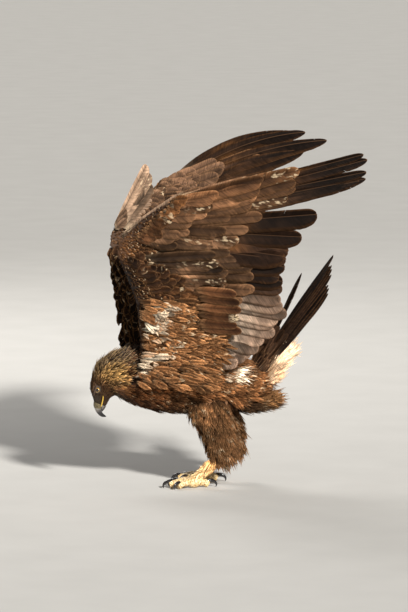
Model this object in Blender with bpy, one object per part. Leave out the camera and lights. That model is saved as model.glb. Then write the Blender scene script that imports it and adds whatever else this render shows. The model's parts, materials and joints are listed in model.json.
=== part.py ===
"""Golden eagle, life size, standing with both wings raised in a V and its head bent down.

Units are metres and +Z is up. The eagle faces -X, its left side is towards -Y, and its soles
rest at Z = 0. Places on the bird are written in the bird's own coordinates, and ORIGIN is
where the model's origin lies in them.
"""
import math

import bmesh
import bpy
import numpy as np

for item in list(bpy.data.objects):
    bpy.data.objects.remove(item, do_unlink=True)

# Driving dimensions
ORIGIN = np.array([-0.0187, 0.0322, 0.0])
GAP = 0.0003
SHORTEST_EDGE = 1e-5
LEFT = -1
RIGHT = 1
SIDES = {"left": LEFT, "right": RIGHT}
SEED = 20

# Body profile from the cere to the root of the tail:
# back line x and z, belly line x and z, half width
BODY = [
    (-0.3191, 0.1981, -0.2896, 0.1872, 0.0125),
    (-0.3262, 0.2310, -0.2801, 0.2069, 0.0290),
    (-0.3221, 0.2605, -0.2679, 0.2132, 0.0340),
    (-0.3103, 0.2864, -0.2549, 0.2056, 0.0370),
    (-0.2891, 0.3028, -0.2395, 0.1959, 0.0430),
    (-0.2631, 0.3143, -0.2218, 0.1887, 0.0520),
    (-0.2348, 0.3271, -0.2006, 0.1814, 0.0640),
    (-0.1947, 0.3338, -0.1711, 0.1733, 0.0770),
    (-0.1475, 0.3369, -0.1310, 0.1690, 0.0840),
    (-0.0932, 0.3340, -0.0838, 0.1662, 0.0840),
    (-0.0342, 0.3217, -0.0342, 0.1693, 0.0760),
    (0.0153, 0.3023, 0.0177, 0.1794, 0.0620),
    (0.0531, 0.2783, 0.0625, 0.1979, 0.0430),
    (0.0743, 0.2592, 0.0791, 0.2214, 0.0200),
]
BODY_ROUNDNESS = 2.25
NECK_START = 2.6
TORSO_START = 6.0
BODY_END = 13.0
TORSO_PLACES = np.linspace(TORSO_START, BODY_END, 14)

# Head, measured from the middle between the eyes: forward along the bill, and up to the crown
EYE_MIDDLE = np.array([-0.3122, 0.0, 0.2296])
HEAD_PITCH = math.radians(70)
EYE_OUT = 0.0205
EYE_RADIUS = 0.0100
CULMEN = [(0.0320, -0.0040), (0.0400, -0.0066), (0.0472, -0.0125), (0.0540, -0.0200),
          (0.0585, -0.0300), (0.0580, -0.0385), (0.0552, -0.0438)]
TOMIUM = [(0.0320, -0.0225), (0.0370, -0.0240), (0.0420, -0.0262), (0.0462, -0.0292),
          (0.0500, -0.0335), (0.0520, -0.0380), (0.0540, -0.0432)]
GONYS = [(0.0320, -0.0350), (0.0370, -0.0352), (0.0420, -0.0345), (0.0458, -0.0318)]
BILL_HALF_WIDTHS = [0.0118, 0.0108, 0.0092, 0.0074, 0.0052, 0.0028, 0.0006]
CERE_SHARE = 1.65

# Wing, in its own plane from the shoulder: a runs back, b runs up, c runs out of the lower side
SHOULDER = (-0.188, 0.060, 0.320)
WING_LEAN = math.radians(20)
WING_SPLAY = math.radians(18)
# front a and b, rear a and b, half thickness
ARM_PLATE = [
    (-0.030, -0.040, 0.105, -0.052, 0.0150),
    (-0.030, 0.000, 0.132, -0.010, 0.0170),
    (-0.029, 0.060, 0.150, 0.048, 0.0150),
    (-0.031, 0.122, 0.156, 0.115, 0.0130),
    (-0.046, 0.185, 0.130, 0.182, 0.0115),
    (-0.066, 0.248, 0.030, 0.275, 0.0090),
]
HAND_PLATE = [
    (-0.066, 0.248, 0.030, 0.275, 0.0090),
    (-0.055, 0.283, 0.044, 0.305, 0.0085),
    (-0.012, 0.329, 0.066, 0.331, 0.0075),
    (0.040, 0.371, 0.092, 0.358, 0.0060),
    (0.098, 0.401, 0.120, 0.386, 0.0040),
]
WRIST = (-0.060, 0.260)
BOW_ANGLE = math.radians(25)
BOW = {LEFT: 0.03, RIGHT: 0.19}
VANE = 0.0008
TILE = 0.12
TUFT = [(0.0, 0.8, 0.8), (0.65, 1.0, 1.0), (1.0, 0.35, 0.35)]
LOCK = [(0.0, 0.8, 0.8), (0.6, 1.0, 1.0), (1.0, 0.15, 0.15)]


def smooth_rows(rows, places):
    """Rows of numbers read from a smooth curve through the given rows."""
    rows = np.array(rows, float)
    padded = np.vstack([2 * rows[0] - rows[1], rows, 2 * rows[-1] - rows[-2]])
    result = []
    for place in places:
        index = min(int(place), len(rows) - 2)
        t = place - index
        p0, p1, p2, p3 = padded[index:index + 4]
        result.append(0.5 * (2 * p1 + (p2 - p0) * t + (2 * p0 - 5 * p1 + 4 * p2 - p3) * t ** 2
                             + (3 * p1 - p0 - 3 * p2 + p3) * t ** 3))
    return np.array(result)


def mesh_object(name, verts, faces):
    """A closed mesh object in model coordinates, with its faces pointing out."""
    mesh = bpy.data.meshes.new(name)
    mesh.from_pydata([tuple(v) for v in np.array(verts) - ORIGIN], [], faces)
    shell = bmesh.new()
    shell.from_mesh(mesh)
    bmesh.ops.triangulate(shell, faces=[f for f in shell.faces if len(f.verts) > 3])
    bmesh.ops.recalc_face_normals(shell, faces=shell.faces)
    shell.to_mesh(mesh)
    shell.free()
    item = bpy.data.objects.new(name, mesh)
    bpy.context.scene.collection.objects.link(item)
    return item


def loft(rings):
    """Points and triangles of a closed body through rings of equal count."""
    count = len(rings[0])
    verts = [point for ring in rings for point in ring]
    faces = []
    for row in range(len(rings) - 1):
        for step in range(count):
            a = row * count + step
            b = row * count + (step + 1) % count
            faces.append((a, b, b + count))
            faces.append((a, b + count, a + count))
    last = (len(rings) - 1) * count
    for step in range(1, count - 1):
        faces.append((0, step + 1, step))
        faces.append((last, last + step, last + step + 1))
    return verts, faces


def strip(rings):
    """A thin blade through rings of four corners, split alike on both faces."""
    verts = [point for ring in rings for point in ring]
    faces = []
    for row in range(len(rings) - 1):
        near = row * 4
        far = near + 4
        faces += [(near, near + 1, far + 1), (near, far + 1, far),
                  (near + 1, near + 2, far + 2), (near + 1, far + 2, far + 1),
                  (near + 2, near + 3, far + 2), (near + 3, far + 3, far + 2),
                  (near + 3, near, far), (near + 3, far, far + 3)]
    last = len(verts) - 4
    faces += [(0, 2, 1), (0, 3, 2), (last, last + 1, last + 2), (last, last + 2, last + 3)]
    return verts, faces


def ellipsoid(centre, axes, segments=12, rings=7):
    """Points and triangles of an ellipsoid with the three half axes given as vectors."""
    levels = np.linspace(0, math.pi, rings + 1)[1:-1]
    turns = np.arange(segments) * 2 * math.pi / segments
    centre = np.array(centre, float)
    along, across, up = [np.array(axis, float) for axis in axes]
    rows = []
    for level in levels:
        rows.append([centre + along * math.cos(level)
                     + (across * math.cos(turn) + up * math.sin(turn)) * math.sin(level)
                     for turn in turns])
    return loft(rows)


def block(low, high):
    """Points and triangles of an upright box."""
    corners = [(0, 0), (1, 0), (1, 1), (0, 1)]
    return loft([[np.array([(low[0], high[0])[i], (low[1], high[1])[j], z]) for i, j in corners]
                 for z in (low[2], high[2])])


def tube(path, radii, segments=8, grow=0.0, floor=None):
    """A closed tube along a path of points, with a radius for each, flat where it meets a floor."""
    path = np.array(path, float)
    rings = []
    for index, centre in enumerate(path):
        ahead = path[min(index + 1, len(path) - 1)] - path[max(index - 1, 0)]
        ahead = ahead / np.linalg.norm(ahead)
        side = np.cross(ahead, (0.0, 0.0, 1.0))
        if np.linalg.norm(side) < 0.2:
            side = np.array([0.0, 1.0, 0.0]) - ahead * ahead[1]
        side = side / np.linalg.norm(side)
        up = np.cross(side, ahead)
        ring = []
        for step in range(segments):
            turn = 2 * math.pi * (step + 0.5) / segments
            reach = radii[index] + grow
            point = centre + side * math.cos(turn) * reach + up * math.sin(turn) * reach
            if floor is not None:
                point[2] = max(point[2], floor)
            ring.append(point)
        rings.append(ring)
    return loft(rings)


def run_boolean(item, others, operation, solver):
    """Apply one Boolean between an object and a set of closed objects, which are then removed."""
    group = bpy.data.collections.new("pieces")
    for other in others:
        group.objects.link(other)
    tool = item.modifiers.new("join", "BOOLEAN")
    tool.operand_type = "COLLECTION"
    tool.collection = group
    tool.operation = operation
    tool.solver = solver
    bpy.context.view_layer.update()
    graph = bpy.context.evaluated_depsgraph_get()
    mesh = bpy.data.meshes.new_from_object(item.evaluated_get(graph))
    item.modifiers.clear()
    item.data = mesh
    for other in others:
        bpy.data.objects.remove(other, do_unlink=True)
    bpy.data.collections.remove(group)


def keep_largest(item):
    """Leave only the largest closed surface of a mesh."""
    shell = bmesh.new()
    shell.from_mesh(item.data)
    bmesh.ops.dissolve_degenerate(shell, edges=shell.edges, dist=SHORTEST_EDGE)
    bmesh.ops.triangulate(shell, faces=shell.faces)
    left = set(shell.faces)
    bodies = []
    while left:
        queue = [left.pop()]
        body = list(queue)
        while queue:
            face = queue.pop()
            for edge in face.edges:
                for other in edge.link_faces:
                    if other in left:
                        left.remove(other)
                        queue.append(other)
                        body.append(other)
        bodies.append(body)
    bodies.sort(key=len, reverse=True)
    dropped = [len(body) for body in bodies[1:]]
    if dropped:
        print(item.name, "dropped surfaces with faces:", dropped)
    for body in bodies[1:]:
        bmesh.ops.delete(shell, geom=body, context="FACES")
    bmesh.ops.recalc_face_normals(shell, faces=shell.faces)
    shell.to_mesh(item.data)
    shell.free()


def material(name, colour, roughness):
    """A plain finish for one kind of surface."""
    found = bpy.data.materials.get(name)
    if found:
        return found
    made = bpy.data.materials.new(name)
    made.use_nodes = True
    shader = made.node_tree.nodes["Principled BSDF"]
    shader.inputs["Base Color"].default_value = (*colour, 1.0)
    shader.inputs["Roughness"].default_value = roughness
    return made


PLUMAGE = ("plumage", (0.16, 0.09, 0.05), 0.75)
HACKLE = ("hackle", (0.42, 0.26, 0.12), 0.7)
FLIGHT = ("flight_feather", (0.09, 0.055, 0.035), 0.6)
TAWNY = ("tawny_feather", (0.45, 0.28, 0.14), 0.75)
YELLOW = ("yellow_skin", (0.75, 0.55, 0.16), 0.5)
HORN = ("horn", (0.05, 0.05, 0.055), 0.3)
IRIS = ("eye", (0.45, 0.26, 0.05), 0.08)


def build_node(name, finish, pieces, cutters=(), solver="EXACT"):
    """One named node: pieces fused to one closed body, then cut clear of its neighbours."""
    items = [mesh_object(f"{name}_piece", *piece) for piece in pieces]
    item = items[0]
    item.name = name
    item.data.name = name
    if len(items) > 1:
        run_boolean(item, items[1:], "UNION", solver)
    for cutter in cutters:
        run_boolean(item, [mesh_object("cutter", *cutter)], "DIFFERENCE", solver)
    keep_largest(item)
    item.data.materials.clear()
    item.data.materials.append(material(*finish))
    item.data.shade_smooth()
    item.data.set_sharp_from_angle(angle=math.radians(35))
    return item


def body_rings(places, segments=20, grow=0.0):
    """Rings of the head, neck and trunk at places along the body profile."""
    rings = []
    for top_x, top_z, low_x, low_z, half_width in smooth_rows(BODY, places):
        top = np.array([top_x, 0.0, top_z])
        low = np.array([low_x, 0.0, low_z])
        centre = (top + low) / 2
        rise = (top - low) / 2
        rise = rise * (1 + grow / np.linalg.norm(rise))
        ring = []
        for step in range(segments):
            turn = 2 * math.pi * step / segments
            cos, sin = math.cos(turn), math.sin(turn)
            reach = (abs(cos) ** BODY_ROUNDNESS + abs(sin) ** BODY_ROUNDNESS) ** (-1 / BODY_ROUNDNESS)
            ring.append(centre + rise * cos * reach
                        + np.array([0.0, (half_width + grow) * sin * reach, 0.0]))
        rings.append(ring)
    return rings


def body_place(place, turn, lift=0.0):
    """A place on or above the body at a turn from its back line, with its outward normal."""
    top_x, top_z, low_x, low_z, half_width = smooth_rows(BODY, [place])[0]
    top = np.array([top_x, 0.0, top_z])
    low = np.array([low_x, 0.0, low_z])
    rise = (top - low) / 2
    cos, sin = math.cos(turn), math.sin(turn)
    reach = (abs(cos) ** BODY_ROUNDNESS + abs(sin) ** BODY_ROUNDNESS) ** (-1 / BODY_ROUNDNESS)
    point = (top + low) / 2 + rise * cos * reach + np.array([0.0, half_width * sin * reach, 0.0])
    normal = rise / (rise @ rise) * cos + np.array([0.0, sin / half_width, 0.0])
    normal = normal / np.linalg.norm(normal)
    return point + normal * lift, normal


def surface_lock(begin, end, turn, half_width, lifts, thick, outline):
    """A flat, tapered lock that follows the body back from its root and lifts off towards its tip."""
    rings = []
    for share, left_share, right_share in outline:
        place = begin + (end - begin) * share
        lift = lifts[0] + (lifts[1] - lifts[0]) * share
        middle, normal = body_place(place, turn, lift)
        ahead = body_place(place + 0.1, turn, lift)[0] - body_place(place - 0.1, turn, lift)[0]
        across = np.cross(normal, ahead)
        across = across / np.linalg.norm(across) * half_width
        body = normal * thick * (1 - 0.5 * share) / 2
        left = middle + across * left_share
        right = middle - across * right_share
        rings.append([left - body, right - body, right + body, left + body])
    return strip(rings)


def neck():
    """Neck with its golden hackles: pointed locks in rows over its back and sides."""
    draw = np.random.default_rng(SEED + 2)
    pieces = [loft(body_rings(np.linspace(NECK_START + 0.004, TORSO_START - 0.012, 6), segments=14))]
    for row, begin in enumerate((2.8, 3.7, 4.6)):
        count = 7 + row % 2
        for step in range(count):
            turn = math.radians(115) * (2 * (step + 0.5) / count - 1) + draw.uniform(-0.04, 0.04)
            end = begin + 1.25 + draw.uniform(-0.1, 0.15)
            pieces.append(surface_lock(begin, end, turn, 0.0095, (-0.0035, 0.0065), 0.0022, LOCK))
    build_node("neck", HACKLE, pieces, [trunk_cutter()])


def trunk_cutter():
    """The trunk, larger by the gap, that clears what grows from it."""
    places = [TORSO_START - 0.01, *TORSO_PLACES[1:], BODY_END + 0.02]
    return loft(body_rings(places, grow=GAP))


def head_point(forward, up, out=0.0):
    """A place on the head from its eyes: forward, up and sideways."""
    ahead = np.array([-math.cos(HEAD_PITCH), 0.0, -math.sin(HEAD_PITCH)])
    crown = np.array([-math.sin(HEAD_PITCH), 0.0, math.cos(HEAD_PITCH)])
    return EYE_MIDDLE + ahead * forward + crown * up + np.array([0.0, out, 0.0])


def head_vectors():
    """Unit vectors of the head: forward, up and sideways."""
    return (head_point(1, 0) - EYE_MIDDLE, head_point(0, 1) - EYE_MIDDLE, np.array([0.0, 1.0, 0.0]))


def head_parts():
    """Head with brows, lids, mouth line and ear region, and the two eyes in their sockets."""
    ahead, crown, out = head_vectors()
    pieces = [loft(body_rings(np.linspace(0.0, NECK_START, 12), segments=20))]
    cutters = []
    for name, side in SIDES.items():
        brow = head_point(0.002, 0.0095, side * 0.0245)
        tilt = ahead * 0.94 - crown * 0.30 - out * side * 0.18
        pieces.append(ellipsoid(brow, (tilt * 0.0175, out * side * 0.0062, crown * 0.0042), 8, 6))
        lid = []
        for step in range(11):
            turn = 2 * math.pi * step / 11
            ring_point = head_point(0.0078 * math.cos(turn), 0.0072 * math.sin(turn),
                                    side * (0.0276 - 0.10 * 0.0078 * math.cos(turn)))
            lid.append(ring_point)
        pieces.append(hoop(lid, 0.0014, 4))
        cutters.append(ellipsoid(head_point(0, 0, side * EYE_OUT),
                                 [v * (EYE_RADIUS + GAP) for v in (out, ahead, crown)], 12, 8))
        mouth = [head_point(0.0335, -0.0222, side * 0.0150), head_point(0.0200, -0.0205, side * 0.0235),
                 head_point(0.0060, -0.0165, side * 0.0300)]
        cutters.append(tube(mouth, [0.0011, 0.0011, 0.0005], 6))
        ear = head_point(-0.026, -0.010, side * 0.0385)
        cutters.append(ellipsoid(ear, (ahead * 0.0035, crown * 0.0050, out * 0.0040), 7, 5))
        eye = ellipsoid(head_point(0, 0, side * EYE_OUT), [v * EYE_RADIUS for v in (out, ahead, crown)],
                        12, 8)
        build_node(f"eye_{name}", IRIS, [eye])
    build_node("head", PLUMAGE, pieces, cutters, "MANIFOLD")


def bill_ring(place, low_curve, high_curve, width_scale=1.0, rounded=0.75, count=9):
    """One ring of the bill between its lower and upper curves."""
    low = smooth_rows(low_curve, [place])[0]
    high = smooth_rows(high_curve, [place])[0]
    half_width = smooth_rows([[w] for w in BILL_HALF_WIDTHS], [place])[0][0] * width_scale
    span = high - low
    ring = []
    for step in range(count):
        turn = math.pi * step / (count - 1)
        height = math.sin(turn) ** rounded
        forward, up = low + span * height
        ring.append(head_point(forward, up, half_width * math.cos(turn)))
    return ring


def bill_parts():
    """Cere with nostrils, hooked upper bill and lower bill."""
    ahead, crown, out = head_vectors()
    cere_places = np.linspace(0.06, CERE_SHARE, 5)
    cere = [bill_ring(place, TOMIUM, CULMEN, 1.04) for place in cere_places]
    nostrils = []
    for side in SIDES.values():
        place = head_point(0.0395, -0.0135, side * 0.0092)
        nostrils.append(ellipsoid(place, (ahead * 0.0016 + crown * 0.0008, crown * 0.0026 - ahead * 0.0012,
                                          out * 0.0022), 7, 5))
    build_node("cere", YELLOW, [loft(cere)], nostrils)
    upper_places = np.linspace(CERE_SHARE + 0.05, 6.0, 11)
    upper = [bill_ring(place, TOMIUM, CULMEN) for place in upper_places]
    build_node("bill_upper", HORN, [loft(upper)])
    lower_places = np.linspace(0.06, 3.0, 6)
    lower = []
    for place in lower_places:
        top = smooth_rows(TOMIUM, [place])[0]
        low = smooth_rows(GONYS, [place])[0]
        half = smooth_rows([[w] for w in BILL_HALF_WIDTHS], [place])[0][0] * 0.93
        share = 1 - place / 3.0 * 0.35
        ring = []
        for step in range(9):
            turn = math.pi * step / 8
            depth = math.sin(turn) ** 0.75
            edge = top + (low - top) * 0.03
            forward, up = edge + (low - edge) * depth * share
            ring.append(head_point(forward, up - GAP, half * math.cos(turn) * share))
        lower.append(ring)
    build_node("bill_lower", HORN, [loft(lower)])


def wing_frame(side):
    """Shoulder place and the wing's own directions: back, up along the wing, out of its lower side."""
    back = np.array([math.cos(WING_SPLAY), side * math.sin(WING_SPLAY), 0.0])
    rise = np.array([-math.sin(WING_SPLAY) * math.sin(WING_LEAN),
                     side * math.cos(WING_SPLAY) * math.sin(WING_LEAN), math.cos(WING_LEAN)])
    out = np.cross(back, rise) * -side
    shoulder = np.array([SHOULDER[0], side * SHOULDER[1], SHOULDER[2]])
    return shoulder, back, rise, out


def wing_place(side, a, b, c=0.0):
    """A place on the wing in the bird's coordinates; the wing bows out beyond its wrist."""
    shoulder, back, rise, out = wing_frame(side)
    reach = max(0.0, (a - WRIST[0]) * math.cos(BOW_ANGLE) + (b - WRIST[1]) * math.sin(BOW_ANGLE))
    return shoulder + back * a + rise * b + out * (c + BOW[side] * reach ** 2)


def plate_rings(side, rows, count, start=0.0, end=None, grow=0.0):
    """Rings of the flat, fleshy part of a wing, thick near its front and thin at its rear."""
    end = len(rows) - 1 if end is None else end
    shape = [(0.05, 0.55), (0.2, 1.0), (0.45, 0.85), (0.75, 0.55), (1.0, 0.33)]
    rings = []
    for front_a, front_b, rear_a, rear_b, half in smooth_rows(rows, np.linspace(start, end, count)):
        front = np.array([front_a, front_b])
        rear = np.array([rear_a, rear_b])
        chord = rear - front
        unit = chord / np.linalg.norm(chord)
        ring = [wing_place(side, *(front - unit * grow))]
        for sign, order in ((-1, shape), (1, shape[::-1])):
            for share, height in order:
                a, b = front + chord * share + (unit * grow if share == 1.0 else 0)
                ring.append(wing_place(side, a, b, sign * (half * height + grow)))
        rings.append(ring)
    return rings


def hoop(centres, radius, segments=5):
    """A closed ring of round section through a loop of centres."""
    centres = np.array(centres, float)
    middle = centres.mean(axis=0)
    count = len(centres)
    verts = []
    for index, centre in enumerate(centres):
        ahead = centres[(index + 1) % count] - centres[index - 1]
        away = centre - middle
        away = away - ahead * (away @ ahead) / (ahead @ ahead)
        away = away / np.linalg.norm(away)
        up = np.cross(ahead, away) / np.linalg.norm(ahead)
        for step in range(segments):
            turn = 2 * math.pi * step / segments
            verts.append(centre + (away * math.cos(turn) + up * math.sin(turn)) * radius)
    faces = []
    for index in range(count):
        for step in range(segments):
            a = index * segments + step
            b = index * segments + (step + 1) % segments
            c = (index + 1) % count * segments + (step + 1) % segments
            d = (index + 1) % count * segments + step
            faces.append((a, b, c))
            faces.append((a, c, d))
    return verts, faces


def keyed(keys, places):
    """Values between keys that are spread evenly from 0 to 1."""
    keys = np.array(keys, float)
    steps = np.linspace(0, 1, len(keys))
    if keys.ndim == 1:
        return np.interp(places, steps, keys)
    return np.stack([np.interp(places, steps, keys[:, k]) for k in range(keys.shape[1])], axis=-1)


# Feather rows, from the wrist towards the body or the wing's tip, as a and b on the wing
SECONDARY_ROOTS = [(0.000, 0.256), (0.050, 0.228), (0.092, 0.190), (0.120, 0.147), (0.130, 0.100),
                   (0.128, 0.050), (0.112, 0.004)]
SECONDARY_TIPS = [(0.338, 0.268), (0.330, 0.222), (0.322, 0.170), (0.328, 0.118), (0.302, 0.071),
                  (0.253, 0.025), (0.211, -0.015)]
PRIMARY_ROOTS = [(0.012, 0.281), (0.036, 0.310), (0.066, 0.343), (0.094, 0.380)]
PRIMARY_TIPS = [(0.350, 0.292), (0.391, 0.312), (0.430, 0.372), (0.552, 0.472), (0.566, 0.512),
                (0.552, 0.538)]
SECONDARY_COUNT = 12
PRIMARY_COUNT = 10
# Vane outlines: share of the length, front and rear width as shares of the vane's own
BROAD = [(0.0, 0.3, 0.3), (0.45, 1.0, 1.0), (0.90, 0.85, 0.85), (1.0, 0.3, 0.3)]
FINGER = [(0.0, 0.3, 0.25), (0.42, 1.0, 1.0), (0.60, 0.55, 0.58), (0.92, 0.45, 0.5), (1.0, 0.12, 0.2)]
SHORT_COVERT = [(0.0, 0.5, 0.5), (0.64, 1.0, 1.0), (1.0, 0.42, 0.42)]
COVERT = [(0.0, 0.5, 0.5), (0.50, 1.0, 1.0), (0.86, 0.85, 0.85), (1.0, 0.3, 0.3)]


def wing_vane(side, root, tip, lifts, widths, outline, bend=0.0, tile=TILE, thick=VANE):
    """One feather on a wing, tilted like a roof tile so that it passes clear over the next."""
    root = np.array(root, float)
    run = np.array(tip, float) - root
    length = np.linalg.norm(run)
    ahead = run / length
    front = np.array([-ahead[1], ahead[0]])
    rings = []
    for share, front_share, rear_share in outline:
        middle = root + run * share
        level = lifts[0] + (lifts[1] - lifts[0]) * share + bend * share ** 2
        near = middle + front * widths[0] * front_share
        far = middle - front * widths[1] * rear_share
        near_level = level - tile * widths[0] * front_share
        far_level = level + tile * widths[1] * rear_share
        rings.append([wing_place(side, *near, near_level - thick / 2),
                      wing_place(side, *far, far_level - thick / 2),
                      wing_place(side, *far, far_level + thick / 2),
                      wing_place(side, *near, near_level + thick / 2)])
    return strip(rings)


def wing_row(side, draw, roots, tips, count, lifts, widths, outline, bend=0.0):
    """A row of like feathers between two lines of roots and tips, each a little different."""
    pieces = []
    shares = np.linspace(0, 1, count)
    for root, tip in zip(keyed(roots, shares), keyed(tips, shares)):
        wander = draw.uniform(-0.0025, 0.0025, 2)
        pieces.append(wing_vane(side, root, tip + wander, lifts, widths, outline, bend))
    return pieces


def lines_between(first, second, share):
    """A line of places that lies between two lines of keys."""
    places = np.linspace(0, 1, max(len(first), len(second)))
    return keyed(first, places) * (1 - share) + keyed(second, places) * share


def wing_parts(name, side):
    """One raised wing: arm and hand with their tiers of feathers, and the alula."""
    draw = np.random.default_rng(SEED)
    arm = [loft(plate_rings(side, ARM_PLATE, 7))]
    arm += wing_row(side, draw, SECONDARY_ROOTS, SECONDARY_TIPS, SECONDARY_COUNT, (0.0, 0.0),
                    (0.019, 0.030), BROAD, 0.012)
    front_line = [(-0.050, 0.236), (-0.040, 0.190), (-0.028, 0.130), (-0.026, 0.070), (-0.026, 0.010)]
    cover_tips = lines_between(SECONDARY_ROOTS, SECONDARY_TIPS, 0.42) + np.array([0.0, -0.004])
    cover_roots = lines_between(SECONDARY_ROOTS, front_line, 0.12) + np.array([0.0, -0.006])
    median_roots = lines_between(SECONDARY_ROOTS, front_line, 0.42) + np.array([0.0, -0.006])
    median_tips = lines_between(SECONDARY_ROOTS, SECONDARY_TIPS, 0.12) + np.array([0.0, -0.006])
    for face in (-1, 1):
        arm += wing_row(side, draw, cover_roots, cover_tips, 8, (face * 0.0054, face * 0.0108),
                        (0.018, 0.023), COVERT, face * 0.001)
        arm += wing_row(side, draw, median_roots, median_tips, 6, (face * 0.0060, face * 0.0130),
                        (0.022, 0.024), SHORT_COVERT, face * 0.002)
    arm += wing_row(side, draw, [(0.050, 0.000), (0.060, 0.060)], [(0.180, -0.012), (0.188, 0.052)], 3,
                    (0.0100, 0.0185), (0.015, 0.016), COVERT, 0.002)
    hand_block = loft(plate_rings(side, HAND_PLATE, 5, grow=GAP))
    build_node(f"wing_{name}_arm", PLUMAGE, arm, [trunk_cutter(), hand_block])

    hand = [loft(plate_rings(side, HAND_PLATE, 5, start=0.012))]
    hand += primaries(side, draw)
    hand_front = [(-0.046, 0.292), (-0.010, 0.326), (0.040, 0.366), (0.080, 0.392)]
    cover_roots = lines_between(PRIMARY_ROOTS, hand_front, 0.15) + np.array([0.004, 0.018])
    cover_tips = lines_between(PRIMARY_ROOTS, PRIMARY_TIPS, 0.34) + np.array([0.0, 0.014])
    for face in (-1, 1):
        hand += wing_row(side, draw, cover_roots, cover_tips, 5, (face * 0.0020, face * 0.0078),
                         (0.015, 0.019), SHORT_COVERT, face * 0.001)
    arm_block = loft(plate_rings(side, ARM_PLATE, 7, grow=GAP))
    build_node(f"wing_{name}_hand", FLIGHT, hand, [arm_block])
    alula(name, side)


def primaries(side, draw):
    """The ten primaries: the inner ones broad, the outer ones notched to fingers."""
    pieces = []
    shares = np.linspace(0, 1, PRIMARY_COUNT)
    roots = keyed(PRIMARY_ROOTS, shares)
    tips = keyed(PRIMARY_TIPS, shares)
    for index, (root, tip) in enumerate(zip(roots, tips)):
        share = shares[index]
        widths = (0.017 - 0.006 * share, 0.032 - 0.006 * share)
        outline = BROAD if index < 4 else FINGER
        wander = draw.uniform(-0.002, 0.002, 2)
        pieces.append(wing_vane(side, root, tip + wander, (0.0, 0.0), widths, outline, 0.016))
    return pieces


ALULA_START = (-0.050, 0.290)
ALULA_ANGLE = {LEFT: math.radians(35), RIGHT: math.radians(54)}
ALULA_LENGTHS = [0.176, 0.162, 0.142, 0.116]


def alula(name, side):
    """The thumb of the wing with its four short stiff feathers, on the upper side of the wrist."""
    angle = ALULA_ANGLE[side]
    shoulder, back, rise, out = wing_frame(side)
    along = back * math.cos(angle) + rise * math.sin(angle)
    across = rise * math.cos(angle) - back * math.sin(angle)
    middle = wing_place(side, ALULA_START[0] + 0.012, ALULA_START[1] + 0.010, -0.0125)
    pieces = [ellipsoid(middle, (along * 0.024, across * 0.009, out * 0.0065), 8, 5)]
    for index, length in enumerate(ALULA_LENGTHS):
        turn = angle - math.radians(3.5 * index)
        start = np.array(ALULA_START) + np.array([0.006, 0.008]) - np.array([-0.006, 0.004]) * index
        tip = start + np.array([math.cos(turn), math.sin(turn)]) * length
        level = -0.0150 + 0.0012 * index
        pieces.append(wing_vane(side, start, tip, (level, level - 0.001), (0.007, 0.013), BROAD, 0.004))
    build_node(f"wing_{name}_alula", FLIGHT, pieces, [loft(plate_rings(side, HAND_PLATE, 5, grow=GAP))])


TAIL_ROOT = np.array([0.052, 0.0, 0.252])
TAIL_RISE = math.radians(56)
TAIL_ROLL = math.radians(24)
TAIL_LENGTH = 0.335
TAIL_FAN = math.radians(9.5)
STRAY_ANGLE = math.radians(18)
STRAY_LENGTH = 0.250
VENT_TOP = 0.2235


def tail_frame():
    """The tail's directions: along it, across it to the right side, and out of its upper side."""
    along = np.array([math.cos(TAIL_RISE), 0.0, math.sin(TAIL_RISE)])
    upper = np.array([-math.sin(TAIL_RISE), 0.0, math.cos(TAIL_RISE)])
    across = np.array([0.0, 1.0, 0.0])
    rolled = across * math.cos(TAIL_ROLL) + upper * math.sin(TAIL_ROLL)
    return along, rolled, np.cross(along, rolled) * -1


def free_vane(start, ahead, across, length, width, outline, bend, thick):
    """A feather or lock from a place, bending along its own normal towards its tip."""
    normal = np.cross(ahead, across)
    rings = []
    for share, left_share, right_share in outline:
        middle = start + ahead * length * share + normal * bend * share ** 2
        body = thick * (1 - 0.6 * share) / 2
        left = middle + across * width * left_share
        right = middle - across * width * right_share
        rings.append([left - normal * body, right - normal * body, right + normal * body,
                      left + normal * body])
    return strip(rings)


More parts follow.
